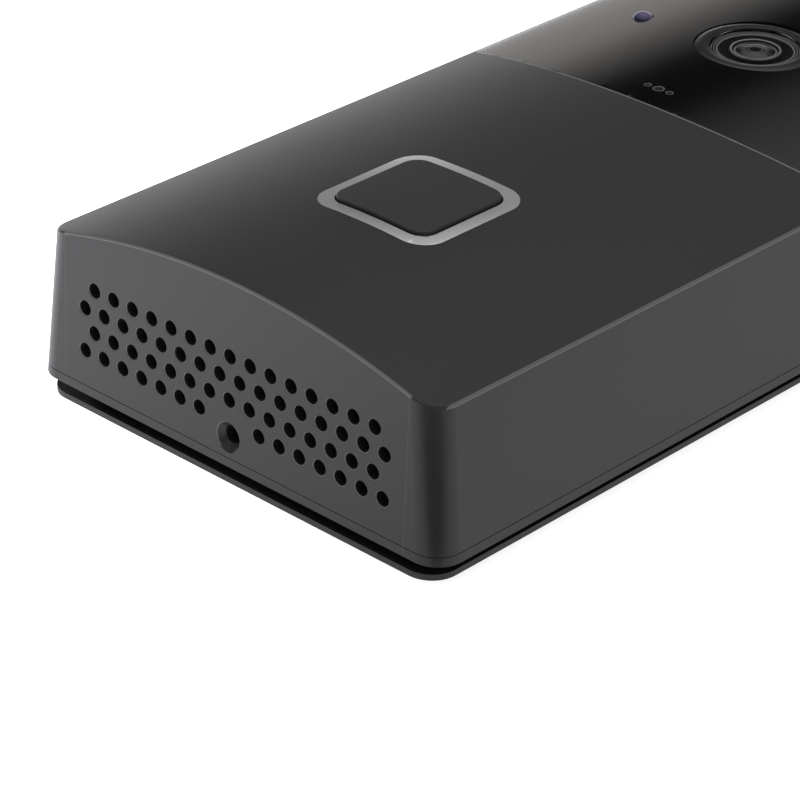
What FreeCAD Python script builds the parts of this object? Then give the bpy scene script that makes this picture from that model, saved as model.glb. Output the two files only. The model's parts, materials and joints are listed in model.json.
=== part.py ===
"""Battery video doorbell, lying on its back: +Z out of the front face, +Y towards the camera end,
+X to the right seen from the front.  The origin is the centre of the wall face of the bracket.
Every driving size is a cell of the sheet "Sizes"; every feature is bound to those cells."""
import FreeCAD, Part
import math
import os
import Sketcher
from FreeCAD import Placement, Rotation, Vector

doc = FreeCAD.newDocument("video_doorbell")

# ---------------------------------------------------------------- driving sizes (mm and degrees)
SIZES = {
    # overall shape
    "body_length": 138.0, "back_width": 69.7, "edge_height": 22.6, "crown_rise": 4.87,
    "side_draft": 5.58, "end_draft": 1.63, "corner_radius": 3.8, "rim_radius": 0.45, "wall": 2.2,
    # wall bracket and the shadow groove above it
    "plate_thickness": 0.82, "plate_side_inset": 1.2, "plate_end_inset": 0.46,
    "plate_corner_radius": 3.84, "groove_height": 1.7, "boss_inset": 3.2, "boss_gap": 0.3,
    "window_width": 30.0, "window_length": 60.0, "window_distance": 97.0,
    "wall_hole_radius": 2.1, "wall_hole_sink": 3.6, "wall_hole_across": 44.0, "wall_hole_along": 96.0,
    "hook_width": 9.0, "hook_offset": 20.0, "hook_reach": 1.5, "hook_thickness": 1.2,
    "hook_room": 0.55, "hook_gap": 0.25,
    "lug_width": 8.0, "lug_depth": 4.0, "lug_gap": 0.4, "lug_height": 8.6,
    "insert_radius": 1.7, "thread_radius": 1.05,
    # rear cover and its seal
    "cover_edge": 1.18, "lip_height": 1.8, "lip_thickness": 1.2, "fit_gap": 0.15,
    "seal_thickness": 0.8, "screw_radius": 1.1, "screw_head_radius": 2.0, "screw_head_height": 0.7,
    "post_radius": 3.0, "post_inset": 5.4,
    # gloss camera panel
    "panel_thickness": 1.2, "panel_rim": 0.5, "panel_gap": 0.1, "split_distance": 75.05, "split_rise": 4.71,
    # camera
    "lens_distance": 100.9, "bezel_radius": 8.45, "bezel_sink": 0.17, "bezel_depth": 3.0,
    "bezel_seat_depth": 0.9,
    "bezel_bore": 6.3, "barrel_radius": 5.6, "barrel_depth": 12.5, "glass_thickness": 0.4,
    "glass_sink": 0.12,
    "front_lens_radius": 3.2, "ring_line_radius": 5.2,
    "led_offset": 19.4, "led_drop": 0.55, "led_radius": 1.47, "led_dome": 1.1, "led_proud": 0.75,
    # microphone group
    "dots_distance": 80.05, "mic_hole_radius": 0.65, "mic_recess_radius": 0.85,
    "dot_offset": 1.85, "dot_radius": 0.4,
    # call button
    "button_post_room": 1.0, "button_board_room": 2.1,
    "button_distance": 33.38, "ring_size": 20.0, "ring_width": 1.85, "ring_corner": 3.7,
    "ring_thickness": 1.2, "button_gap": 0.2, "button_proud": 0.5, "button_travel": 0.5,
    "button_flange": 1.0, "flange_thickness": 0.8, "button_edge_radius": 0.2,
    # grille and security screw hole in the lower end
    "hole_radius": 1.0, "hole_pitch": 3.4, "row_pitch": 2.94, "first_row_height": 17.46,
    "row_holes": 15.0, "screw_hole_height": 6.6, "screw_hole_radius": 1.2, "funnel_radius": 2.05,
    "funnel_depth": 0.9,
    # speaker behind the grille
    "speaker_width": 38.0, "speaker_height": 12.6, "speaker_depth": 4.6, "mesh_thickness": 0.2,
    "gasket_thickness": 0.8,
    # cells and their bay
    "cell_radius": 9.2, "cell_length": 65.2, "cell_offset": 19.6, "cell_gap": 0.35,
    "bay_wall": 1.2, "contact_space": 2.4, "bay_distance": 11.0, "door_margin": 4.4,
    # boards
    "board_thickness": 1.2, "front_board_drop": 3.0, "main_board_height": 7.2,
    "board_margin": 1.4, "board_half_width": 24.0, "switch_size": 6.0, "switch_height": 1.6,
         "plunger_radius": 1.5,
    # service fittings in the rear cover
    "usb_distance": 112.0, "usb_width": 8.0, "usb_height": 3.2,
    "reset_distance": 122.0, "reset_radius": 1.6, "reset_travel": 0.35,
         "terminal_distance": 88.0, "terminal_offset": 7.0,
}

sheet = doc.addObject("Spreadsheet::Sheet", "Sizes")
for row, (name, number) in enumerate(SIZES.items(), 1):
    sheet.set("A%d" % row, name)
    sheet.set("B%d" % row, repr(number))
    sheet.setAlias("B%d" % row, name)
doc.recompute()


def cells(text):
    """Turn the bare size names of a formula into references to the sheet."""
    words = []
    word = ""
    for letter in text + " ":
        if letter.isalnum() or letter == "_":
            word += letter
            continue
        words.append("Sizes." + word if word in SIZES else word)
        words.append(letter)
        word = ""
    return "".join(words).strip()


def value(formula):
    """The number a formula gives with the sheet as it is now."""
    found = sheet.evalExpression(cells(formula))
    return float(getattr(found, "Value", found))


def bind(thing, prop, formula):
    """Tie one property to a formula of the sheet."""
    thing.setExpression(prop, cells(formula))


# ---------------------------------------------------------------- derived places, as formulas
HALF_LENGTH = "(body_length / 2)"
BACK = "(plate_thickness + groove_height)"                 # back face of the housing
SEAM = "(%s + cover_edge)" % BACK                          # where the cover meets the housing
EDGE_HALF = "(back_width / 2 - (edge_height - %s) * tan(side_draft))" % BACK
CREST = "(edge_height + crown_rise)"                       # height of the front along the middle
CROWN_RADIUS = "((%s * %s + crown_rise * crown_rise) / (2 * crown_rise))" % (EDGE_HALF, EDGE_HALF)
BUTTON_Y = "(button_distance - body_length / 2)"
LENS_Y = "(lens_distance - body_length / 2)"
LED_Y = "(%s - led_drop)" % LENS_Y
DOTS_Y = "(dots_distance - body_length / 2)"
SPLIT_Y = "(split_distance - body_length / 2)"
USB_Y = "(usb_distance - body_length / 2)"
RESET_Y = "(reset_distance - body_length / 2)"
TERMINAL_Y = "(terminal_distance - body_length / 2)"
BAY_START = "(bay_distance - body_length / 2)"             # lower end of the cell bay
BAY_LENGTH = "(cell_length + contact_space + 2 * bay_wall)"
BAY_END = "(%s + %s)" % (BAY_START, BAY_LENGTH)
CELL_Z = "(%s + cell_gap + cell_radius)" % SEAM
INNER_CREST = "(%s - wall)" % CREST
FRONT_BOARD = "(edge_height - front_board_drop)"           # underside of the front board
HOOK_Y = "(body_length / 2 - wall - fit_gap - lip_thickness - hook_reach - hook_thickness - hook_room)"


# ---------------------------------------------------------------- modelling helpers
def plane(body, role):
    """One of a body's own origin planes."""
    return [f for f in body.Origin.OriginFeatures if f.Role == role][0]


def sketch_on(body, role, name, offset="0"):
    """A sketch flat on an origin plane, raised from it by a bound offset."""
    sketch = body.newObject("Sketcher::SketchObject", name)
    sketch.AttachmentSupport = (plane(body, role), "")
    sketch.MapMode = "FlatFace"
    bind(sketch, "AttachmentOffset.Base.z", offset)
    return sketch


def drive(sketch, kind, *rest, to):
    """Add a dimension to a sketch and tie it to a formula."""
    index = sketch.addConstraint(Sketcher.Constraint(kind, *rest, value(to)))
    sketch.setExpression("Constraints[%d]" % index, cells(to))


def polygon(sketch, corners):
    """A closed outline through corners given as pairs of formulas, each one dimensioned."""
    places = [Vector(value(x), value(y), 0) for x, y in corners]
    count = len(places)
    for i in range(count):
        sketch.addGeometry(Part.LineSegment(places[i], places[(i + 1) % count]))
    for i in range(count):
        sketch.addConstraint(Sketcher.Constraint("Coincident", i, 2, (i + 1) % count, 1))
    for i, (x, y) in enumerate(corners):
        drive(sketch, "DistanceX", -1, 1, i, 1, to=x)
        drive(sketch, "DistanceY", -1, 1, i, 1, to=y)


def pad(body, sketch, length, name="pad", middle=False, reverse=False):
    """Pad a sketch by a bound length."""
    feature = body.newObject("PartDesign::Pad", name)
    feature.Profile = sketch
    bind(feature, "Length", length)
    if middle:
        feature.Midplane = True
    feature.Reversed = reverse
    return feature


def turned(label, outline, x="0", y="0", z="0"):
    """A body turned about the Z axis from a half outline of (radius, height) formulas."""
    body = doc.addObject("PartDesign::Body", label)
    sketch = sketch_on(body, "XZ_Plane", label + "_outline")
    polygon(sketch, outline)
    feature = body.newObject("PartDesign::Revolution", label + "_turn")
    feature.Profile = sketch
    feature.ReferenceAxis = (sketch, ["V_Axis"])
    feature.Angle = 360
    for part, formula in (("x", x), ("y", y), ("z", z)):
        bind(body, "Placement.Base." + part, formula)
    return body


def box(label, x, y, z):
    """A block between bound limits on each axis."""
    block = doc.addObject("Part::Box", label)
    for prop, axis, (low, high) in (("Length", "x", x), ("Width", "y", y), ("Height", "z", z)):
        bind(block, prop, "(%s) - (%s)" % (high, low))
        bind(block, "Placement.Base." + axis, low)
    return block


AIM = {"+Z": Rotation(), "-Z": Rotation(Vector(1, 0, 0), 180), "+Y": Rotation(Vector(1, 0, 0), -90),
       "-Y": Rotation(Vector(1, 0, 0), 90), "+X": Rotation(Vector(0, 1, 0), 90)}


def aim(thing, x, y, z, way):
    """Place a primitive at a bound point, pointing one way along an axis."""
    thing.Placement = Placement(Vector(), AIM[way])
    for part, formula in (("x", x), ("y", y), ("z", z)):
        bind(thing, "Placement.Base." + part, formula)
    return thing


def rod(label, x, y, z, radius, length, way="+Z"):
    """A cylinder from a bound point."""
    shape = doc.addObject("Part::Cylinder", label)
    bind(shape, "Radius", radius)
    bind(shape, "Height", length)
    return aim(shape, x, y, z, way)


def cone(label, x, y, z, near, far, length, way="+Z"):
    """A frustum from a bound point."""
    shape = doc.addObject("Part::Cone", label)
    bind(shape, "Radius1", near)
    bind(shape, "Radius2", far)
    bind(shape, "Height", length)
    return aim(shape, x, y, z, way)


def cut(label, base, *tools):
    """Base less every tool."""
    if len(tools) == 1:
        tool = tools[0]
    else:
        tool = doc.addObject("Part::MultiFuse", label + "_tools")
        tool.Shapes = list(tools)
    result = doc.addObject("Part::Cut", label)
    result.Base = base
    result.Tool = tool
    return result


def fuse(label, *pieces):
    """One solid of pieces that touch."""
    result = doc.addObject("Part::MultiFuse", label)
    result.Shapes = list(pieces)
    return result


def common(label, first, second):
    """What two shapes share."""
    result = doc.addObject("Part::Common", label)
    result.Base = first
    result.Tool = second
    return result


def group(label, *pieces):
    """Separate solids kept in one node."""
    result = doc.addObject("Part::Compound", label)
    result.Links = list(pieces)
    return result


def copies(label, make, places):
    """The same piece made at each place, kept in one node."""
    return group(label, *[make("%s_%d" % (label, i + 1), *place) for i, place in enumerate(places)])


def rounded_prism(label, x, y, width, length, radius, low, high):
    """A block with rounded upright corners, centred on x, y, from low to high."""
    body = doc.addObject("PartDesign::Body", label)
    sketch = sketch_on(body, "XY_Plane", label + "_outline", low)
    half_w, half_l, rad = value(width) / 2, value(length) / 2, value(radius)
    mid = Vector(value(x), value(y), 0)
    turns = [(half_w - rad, -half_l + rad, -90), (half_w - rad, half_l - rad, 0),
             (-half_w + rad, half_l - rad, 90), (-half_w + rad, -half_l + rad, 180)]
    for dx, dy, start in turns:
        circle = Part.Circle(mid + Vector(dx, dy, 0), Vector(0, 0, 1), rad)
        sketch.addGeometry(Part.ArcOfCircle(circle, math.radians(start), math.radians(start + 90)))
    for i in range(4):
        a = sketch.Geometry[i].EndPoint
        b = sketch.Geometry[(i + 1) % 4].StartPoint
        sketch.addGeometry(Part.LineSegment(a, b))
    for i in range(4):
        sketch.addConstraint(Sketcher.Constraint("Tangent", i, 2, 4 + i, 1))
        sketch.addConstraint(Sketcher.Constraint("Tangent", 4 + i, 2, (i + 1) % 4, 1))
        if i:
            sketch.addConstraint(Sketcher.Constraint("Equal", 0, i))
    for i in (4, 6):
        sketch.addConstraint(Sketcher.Constraint("Vertical", i))
    for i in (5, 7):
        sketch.addConstraint(Sketcher.Constraint("Horizontal", i))
    drive(sketch, "Radius", 0, to=radius)
    drive(sketch, "DistanceX", -1, 1, 0, 3, to="%s + (%s) / 2 - (%s)" % (x, width, radius))
    drive(sketch, "DistanceY", -1, 1, 0, 3, to="%s - (%s) / 2 + (%s)" % (y, length, radius))
    drive(sketch, "DistanceX", 2, 3, 0, 3, to="(%s) - 2 * (%s)" % (width, radius))
    drive(sketch, "DistanceY", 0, 3, 2, 3, to="(%s) - 2 * (%s)" % (length, radius))
    pad(body, sketch, "(%s) - (%s)" % (high, low), label + "_pad")
    return body


def crowned_slab(label, low_drop, high_drop):
    """A long slab that follows the crown, between two drops below the front surface."""
    radius = CROWN_RADIUS
    middle = "(%s - %s)" % (CREST, radius)
    inner = rod(label + "_inner", "0", "-body_length", middle, "%s - (%s)" % (radius, low_drop),
                "2 * body_length", "+Y")
    outer = rod(label + "_outer", "0", "-body_length", middle, "%s - (%s)" % (radius, high_drop),
                "2 * body_length", "+Y")
    ring = cut(label + "_ring", outer, inner)
    keep = box(label + "_keep", ("-back_width", "back_width"), ("-body_length", "body_length"),
               ("0", "3 * edge_height"))
    return common(label, ring, keep)


def edges_where(shape, test):
    """Names of a shape's edges that pass a test."""
    return ["Edge%d" % (i + 1) for i, edge in enumerate(shape.Edges) if test(edge)]


def shell_block(label, inset, drop, bottom):
    """The outside of the housing, drawn in by an inset, its front lowered by a drop: a crowned
    front over drafted sides and ends, with rounded upright corners."""
    body = doc.addObject("PartDesign::Body", label)
    section = sketch_on(body, "XZ_Plane", label + "_section")
    edge = "(%s - (%s) / cos(side_draft))" % (EDGE_HALF, inset)
    radius = "(%s - (%s))" % (CROWN_RADIUS, drop)
    top = "(%s - %s + sqrt(%s * %s - %s * %s))" % (CREST, CROWN_RADIUS, radius, radius, edge, edge)
    low = "(%s + (edge_height - (%s)) * tan(side_draft))" % (edge, bottom)
    high_edge = "(%s - (%s - edge_height) * tan(side_draft))" % (edge, top)
    crest = "(%s - (%s))" % (CREST, drop)
    corners = [("-%s" % low, bottom), (low, bottom), (high_edge, top), ("-%s" % high_edge, top)]
    spots = [Vector(value(a), value(b), 0) for a, b in corners]
    for i in range(3):
        if i == 2:
            arc = Part.Arc(spots[2], Vector(0, value(crest), 0), spots[3])
            section.addGeometry(arc)
        else:
            section.addGeometry(Part.LineSegment(spots[i], spots[i + 1]))
    section.addGeometry(Part.LineSegment(spots[3], spots[0]))
    arc_start, arc_end = 1, 2
    if (section.Geometry[2].StartPoint - spots[2]).Length > 0.01:
        arc_start, arc_end = 2, 1
    section.addConstraint(Sketcher.Constraint("Coincident", 0, 2, 1, 1))
    section.addConstraint(Sketcher.Constraint("Coincident", 1, 2, 2, arc_start))
    section.addConstraint(Sketcher.Constraint("Coincident", 2, arc_end, 3, 1))
    section.addConstraint(Sketcher.Constraint("Coincident", 3, 2, 0, 1))
    for geometry, point, (a, b) in ((0, 1, corners[0]), (1, 1, corners[1]), (1, 2, corners[2]),
                                    (3, 1, corners[3])):
        drive(section, "DistanceX", -1, 1, geometry, point, to=a)
        drive(section, "DistanceY", -1, 1, geometry, point, to=b)
    drive(section, "Radius", 2, to=radius)
    pad(body, section, "body_length", label + "_long", middle=True)
    # drafted ends: a wedge is taken off each end, drawn in the side plane
    for sign, side in (("", "upper"), ("-", "lower")):
        wedge = sketch_on(body, "YZ_Plane", "%s_%s_wedge" % (label, side))
        high = "(2 * edge_height)"
        at_wall = "(body_length / 2 - (%s) / cos(end_draft))" % inset
        at_high = "(%s - %s * tan(end_draft))" % (at_wall, high)
        polygon(wedge, [("%s%s" % (sign, at_wall), "0"), ("%s%s" % (sign, at_high), high),
                        ("%sbody_length" % sign, high), ("%sbody_length" % sign, "0")])
        pocket = body.newObject("PartDesign::Pocket", "%s_%s_draft" % (label, side))
        pocket.Profile = wedge
        pocket.Midplane = True
        bind(pocket, "Length", "2 * back_width")
    doc.recompute()
    radius_now = max(0.5, value("corner_radius - (%s)" % inset))
    corners_of = edges_where(body.Shape, lambda e: e.BoundBox.ZLength > value("edge_height") * 0.6
                             and e.BoundBox.YLength < value("edge_height") * 0.2)
    drafted = body.Tip
    fillet = body.newObject("PartDesign::Fillet", label + "_corners")
    fillet.Base = (drafted, corners_of)
    fillet.Radius = radius_now
    doc.recompute()
    return body


def soften_front(body, radius):
    """Round the rim where the crowned front meets the sides, ends and corners."""
    before = body.Tip
    crown = max((f for f in before.Shape.Faces if f.BoundBox.ZMax > value(CREST) - 1),
                key=lambda f: f.BoundBox.XLength * f.BoundBox.YLength)
    rim = edges_where(before.Shape, lambda e: any(e.isSame(other) for other in crown.Edges))
    fillet = body.newObject("PartDesign::Fillet", body.Name + "_rim")
    fillet.Base = (before, rim)
    fillet.Radius = radius
    doc.recompute()
    return body


# ---------------------------------------------------------------- the outer form and its layers
outer_form = soften_front(shell_block("outer_form", "0", "0", BACK), value("rim_radius"))
inner_form = shell_block("inner_form", "wall", "wall", SEAM)
FAR = "(2 * back_width)"


def above(label, height):
    """Everything above a height."""
    return box(label, ("-%s" % FAR, FAR), ("-body_length", "body_length"), (height, "3 * edge_height"))


def slab(label, low, high):
    """Everything between two heights."""
    return box(label, ("-%s" % FAR, FAR), ("-body_length", "body_length"), (low, high))


def wall_ring(label, near, deep, low, high):
    """A band that runs round inside the walls, between two insets and two heights."""
    outside = common(label + "_outside", shell_block(label + "_near", near, near, BACK),
                     slab(label + "_slab", low, high))
    return cut(label, outside, shell_block(label + "_deep", deep, deep, BACK))


# ---------------------------------------------------------------- gloss camera panel
def panel_region(label, grow):
    """The panel's plan: a curved lower edge, sides and top held in from the rim."""
    body = doc.addObject("PartDesign::Body", label)
    sketch = sketch_on(body, "XY_Plane", label + "_plan")
    half = "(%s - panel_rim + (%s))" % (EDGE_HALF, grow)
    bend = "(%s * %s + split_rise * split_rise) / (2 * split_rise)" % (EDGE_HALF, EDGE_HALF)
    sweep = "(%s + (%s))" % (bend, grow)
    centre = "(%s + %s)" % (SPLIT_Y, bend)
    low = "(%s - sqrt(%s * %s - %s * %s))" % (centre, sweep, sweep, half, half)
    high = "(%s - edge_height * tan(end_draft) - panel_rim + (%s))" % (HALF_LENGTH, grow)
    turn = "(corner_radius - panel_rim + (%s))" % grow
    half_now, low_now, high_now, turn_now = value(half), value(low), value(high), value(turn)
    bottom = Part.Arc(Vector(-half_now, low_now, 0), Vector(0, value(centre) - value(sweep), 0),
                      Vector(half_now, low_now, 0))
    right_turn = Part.ArcOfCircle(Part.Circle(Vector(half_now - turn_now, high_now - turn_now, 0),
                                              Vector(0, 0, 1), turn_now), 0, math.pi / 2)
    left_turn = Part.ArcOfCircle(Part.Circle(Vector(turn_now - half_now, high_now - turn_now, 0),
                                             Vector(0, 0, 1), turn_now), math.pi / 2, math.pi)
    sketch.addGeometry(bottom)
    sketch.addGeometry(Part.LineSegment(Vector(half_now, low_now, 0),
                                        Vector(half_now, high_now - turn_now, 0)))
    sketch.addGeometry(right_turn)
    sketch.addGeometry(Part.LineSegment(Vector(half_now - turn_now, high_now, 0),
                                        Vector(turn_now - half_now, high_now, 0)))
    sketch.addGeometry(left_turn)
    sketch.addGeometry(Part.LineSegment(Vector(-half_now, high_now - turn_now, 0),
                                        Vector(-half_now, low_now, 0)))
    arc_is_forward = (sketch.Geometry[0].EndPoint - Vector(half_now, low_now, 0)).Length < 0.01
    right_end, left_end = (2, 1) if arc_is_forward else (1, 2)
    sketch.addConstraint(Sketcher.Constraint("Coincident", 0, right_end, 1, 1))
    sketch.addConstraint(Sketcher.Constraint("Tangent", 1, 2, 2, 1))
    sketch.addConstraint(Sketcher.Constraint("Tangent", 2, 2, 3, 1))
    sketch.addConstraint(Sketcher.Constraint("Tangent", 3, 2, 4, 1))
    sketch.addConstraint(Sketcher.Constraint("Tangent", 4, 2, 5, 1))
    sketch.addConstraint(Sketcher.Constraint("Coincident", 5, 2, 0, left_end))
    sketch.addConstraint(Sketcher.Constraint("Vertical", 1))
    sketch.addConstraint(Sketcher.Constraint("Equal", 2, 4))
    drive(sketch, "Radius", 2, to=turn)
    drive(sketch, "Radius", 0, to=sweep)
    drive(sketch, "DistanceX", -1, 1, 1, 1, to=half)
    drive(sketch, "DistanceX", -1, 1, 5, 1, to="-%s" % half)
    drive(sketch, "DistanceY", -1, 1, 1, 1, to=low)
    drive(sketch, "DistanceY", -1, 1, 5, 2, to=low)
    drive(sketch, "DistanceY", -1, 1, 3, 1, to=high)
    pad(body, sketch, "3 * edge_height", label + "_pad")
    return body


panel_layer = crowned_slab("panel_layer", "panel_thickness", "0")
panel_blank = common("panel_blank", panel_region("panel_plan", "0"), panel_layer)
panel_recess = common("panel_recess", panel_region("recess_plan", "panel_gap"),
                      crowned_slab("recess_layer", "panel_thickness", "-edge_height / 2"))

LED_GAP = "(led_radius + 0.1)"


def front_holes(label, bezel, mic):
    """The openings that the panel and the wall behind it share."""
    tools = [rod(label + "_bezel", "0", LENS_Y, SEAM, bezel, "2 * edge_height"),
             rod(label + "_mic", "0", DOTS_Y, INNER_CREST + " - 1", mic, "edge_height")]
    for side, sign in (("left", "-"), ("right", "")):
        tools.append(rod("%s_led_%s" % (label, side), sign + "led_offset", LED_Y, SEAM, LED_GAP,
                         "2 * edge_height"))
    return tools


def dot_holes(label):
    """The two small ports beside the microphone hole."""
    return [rod("%s_dot_%s" % (label, side), sign + "dot_offset", DOTS_Y, INNER_CREST + " - 1",
                "dot_radius", "edge_height") for side, sign in (("left", "-"), ("right", ""))]


mic_dish = cone("mic_dish", "0", DOTS_Y, CREST + " - 0.3", "mic_hole_radius", "mic_recess_radius + 0.15",
                "0.45")
BEZEL_STEM = "(bezel_radius - 0.9)"
bezel_seat = rod("bezel_seat", "0", LENS_Y, CREST + " - bezel_seat_depth - 0.01", "bezel_radius + 0.06",
                 "edge_height")
camera_panel = cut("camera_panel", panel_blank, mic_dish, bezel_seat,
                   *front_holes("panel", BEZEL_STEM + " + 0.1", "mic_hole_radius"), *dot_holes("panel"))

# ---------------------------------------------------------------- call button opening and ring
RING_INNER = "(ring_size - 2 * ring_width)"
RING_INNER_TURN = "(ring_corner - ring_width * 0.6)"
CAP_SIZE = "(%s - 2 * button_gap)" % RING_INNER
CAP_TURN = "(%s - button_gap)" % RING_INNER_TURN
FLANGE_DROP = "(wall + 0.1)"
FLANGE_BACK = "(%s - %s - flange_thickness)" % (CREST, FLANGE_DROP)

ring_recess = common("ring_recess",
                     rounded_prism("ring_recess_plan", "0", BUTTON_Y, "ring_size + 0.1", "ring_size + 0.1",
                                   "ring_corner + 0.05", SEAM, "2 * edge_height"),
                     crowned_slab("ring_recess_layer", "ring_thickness", "-edge_height / 2"))
button_opening = rounded_prism("button_opening", "0", BUTTON_Y, RING_INNER, RING_INNER,
                               RING_INNER_TURN, SEAM, "2 * edge_height")
ring_plan = cut("ring_plan",
                rounded_prism("ring_outside", "0", BUTTON_Y, "ring_size", "ring_size", "ring_corner",
                              SEAM, "2 * edge_height"),
                button_opening)
button_ring = common("button_ring", ring_plan, crowned_slab("ring_layer", "ring_thickness", "-0.06"))

button_stem = common("button_stem",
                     rounded_prism("button_stem_plan", "0", BUTTON_Y, CAP_SIZE, CAP_SIZE, CAP_TURN,
                                   SEAM, "2 * edge_height"),
                     crowned_slab("button_stem_layer", FLANGE_DROP + " + 0.3", "-button_proud"))
doc.recompute()
top_edges = [i + 1 for i, edge in enumerate(button_stem.Shape.Edges)
             if edge.BoundBox.ZMin > value(CREST) - 0.6]
button_head = doc.addObject("Part::Fillet", "button_head")
button_head.Base = button_stem
button_head.Edges = [(i, value("button_edge_radius"), value("button_edge_radius")) for i in top_edges]
button_flange = common("button_flange_plate",
                       rounded_prism("button_flange_plan", "0", BUTTON_Y, CAP_SIZE + " + 2 * button_flange",
                                     CAP_SIZE + " + 2 * button_flange", CAP_TURN, SEAM, "2 * edge_height"),
                       crowned_slab("button_flange_layer", FLANGE_DROP + " + flange_thickness",
                                    FLANGE_DROP))
presser = rod("button_presser", "0", BUTTON_Y, FLANGE_BACK, "plunger_radius + 1", "flange_thickness + 0.5")
button_cap = fuse("button_cap", button_head, button_flange, presser)

# ---------------------------------------------------------------- grille and security screw hole


def drill_row(label, first, height, count):
    """One row of grille drills: a pin through the lower wall, repeated across it."""
    body = doc.addObject("PartDesign::Body", label)
    sketch = sketch_on(body, "XZ_Plane", label + "_circle")
    sketch.addGeometry(Part.Circle(Vector(value(first), value(height), 0), Vector(0, 0, 1),
                                   value("hole_radius")))
    drive(sketch, "DistanceX", -1, 1, 0, 3, to=first)
    drive(sketch, "DistanceY", -1, 1, 0, 3, to=height)
    drive(sketch, "Radius", 0, to="hole_radius")
    bind(sketch, "AttachmentOffset.Base.z", "%s - 3 * wall" % HALF_LENGTH)
    pin = pad(body, sketch, "4 * wall", label + "_pin")
    pattern = body.newObject("PartDesign::LinearPattern", label + "_row")
    pattern.Originals = [pin]
    pattern.Direction = (sketch, ["H_Axis"])
    bind(pattern, "Length", "(%s - 1) * hole_pitch" % count)
    pattern.Occurrences = int(round(value(count)))
    body.Tip = pattern
    return body


HALF_ROW = "floor((row_holes - 1) / 2)"
drills = []
for index in range(4):
    height = "first_row_height - %d * row_pitch" % index
    if index % 2 == 0:
        drills.append(drill_row("drill_row_%d" % (index + 1), "-%s * hole_pitch" % HALF_ROW, height,
                                "row_holes"))
    elif index == 1:
        drills.append(drill_row("drill_row_2", "-(%s + 0.5) * hole_pitch" % HALF_ROW, height,
                                "(row_holes + 1)"))
    else:
        drills.append(drill_row("drill_row_4_left", "-(%s + 0.5) * hole_pitch" % HALF_ROW, height,
                                "(%s)" % HALF_ROW))
        drills.append(drill_row("drill_row_4_right", "1.5 * hole_pitch", height, "(%s)" % HALF_ROW))
END_FACE_Y = "(%s - screw_hole_height * tan(end_draft))" % HALF_LENGTH
screw_way = rod("screw_way", "0", "-" + HALF_LENGTH + " - 1", "screw_hole_height", "screw_hole_radius",
                "wall + 4", "+Y")
screw_funnel = cone("screw_funnel", "0", "-%s - 0.2" % END_FACE_Y, "screw_hole_height",
                    "funnel_radius + 0.19", "screw_hole_radius", "funnel_depth + 0.2", "+Y")

# ---------------------------------------------------------------- front housing
POST_X = "(back_width / 2 - post_inset - 0.05)"
POST_Y = "(%s - wall - mesh_thickness - post_radius)" % HALF_LENGTH
POSTS = [(sx + POST_X, sy + POST_Y) for sx in ("", "-") for sy in ("", "-")]
posts = [rod("post_%d" % (i + 1), x, y, SEAM, "post_radius", "edge_height") for i,
         (x, y) in enumerate(POSTS)]
BOARD_POSTS = [(sx + "(ring_size / 2 + button_post_room)",
                BUTTON_Y + sy + " 5") for sx in ("", "-") for sy in (" +", " -")]
SWITCH_TOP = "(%s - 0.05 - button_travel - 0.35)" % FLANGE_BACK
BUTTON_BOARD = "(%s - switch_height - board_thickness)" % SWITCH_TOP
board_posts = [rod("board_post_%d" % (i + 1), x, y, "%s + board_thickness" % BUTTON_BOARD, "1.0",
                   "edge_height") for i, (x, y) in enumerate(BOARD_POSTS)]
all_posts = fuse("all_posts", *posts, *board_posts)
posts_inside = common("posts_inside", all_posts,
                      common("posts_limit", shell_block("post_form", "wall / 2",
                                                        "wall / 2 + panel_thickness / 2",
                                                        SEAM), above("above_seam", SEAM)))
pilots = [rod("pilot_%d" % (i + 1), x, y, SEAM + " - 1", "screw_radius", "8") for i,
          (x, y) in enumerate(POSTS)]
seal_ring = wall_ring("seal_ring", "0.6", "0.6 + seal_thickness", SEAM, SEAM + " + seal_thickness")
housing_shell = cut("housing_shell", common("housing_top", outer_form, above("above_seam_2", SEAM)),
                    inner_form)
housing_posted = fuse("housing_posted", housing_shell, posts_inside)
front_housing = cut("front_housing", housing_posted, panel_recess, ring_recess, button_opening,
                    *front_holes("housing", BEZEL_STEM + " + 0.1", "mic_recess_radius"),
                    *dot_holes("housing"), *drills, screw_way, screw_funnel, seal_ring, *pilots)
cover_seal = wall_ring("cover_seal", "0.6", "0.6 + seal_thickness", SEAM, SEAM + " + seal_thickness")

# ---------------------------------------------------------------- rear cover
DOOR_HALF = "(back_width / 2 - door_margin)"
door_opening = rounded_prism("door_opening", "0", "(%s + %s) / 2" % (BAY_START, BAY_END),
                             "2 * " + DOOR_HALF, BAY_LENGTH, "2.0", "0", SEAM + " + 1")
cover_floor = common("cover_floor", outer_form, slab("cover_slab", BACK, SEAM))
cover_lip = wall_ring("cover_lip", "wall + fit_gap", "wall + fit_gap + lip_thickness", SEAM,
                      SEAM + " + lip_height")
lip_reliefs = [rod("lip_relief_%d" % (i + 1), x, y, SEAM, "post_radius + 0.2", "edge_height")
               for i, (x, y) in enumerate(POSTS)]
LUG_Y = "(wall / cos(end_draft) + lug_gap - %s + lug_height * tan(end_draft))" % HALF_LENGTH
lug_opening = box("lug_opening", ("-lug_width / 2 - lug_gap", "lug_width / 2 + lug_gap"),
                  (LUG_Y + " - lug_gap", LUG_Y + " + lug_depth + lug_gap"), ("0", "edge_height"))
hook_slots = []
for side, sign in (("left", "-"), ("right", "")):
    middle = sign + "hook_offset"
    hook_slots.append(box("hook_slot_" + side, (middle + " - hook_width / 2 - 0.4",
                                                middle + " + hook_width / 2 + 0.4"),
                          (HOOK_Y + " - 0.3", HOOK_Y + " + hook_thickness + 0.6"), ("0", SEAM + " + 0.2")))
cover_screw_ways = [rod("cover_way_%d" % (i + 1), x, y, "0", "screw_radius", "edge_height")
                    for i, (x, y) in enumerate(POSTS)]
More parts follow.
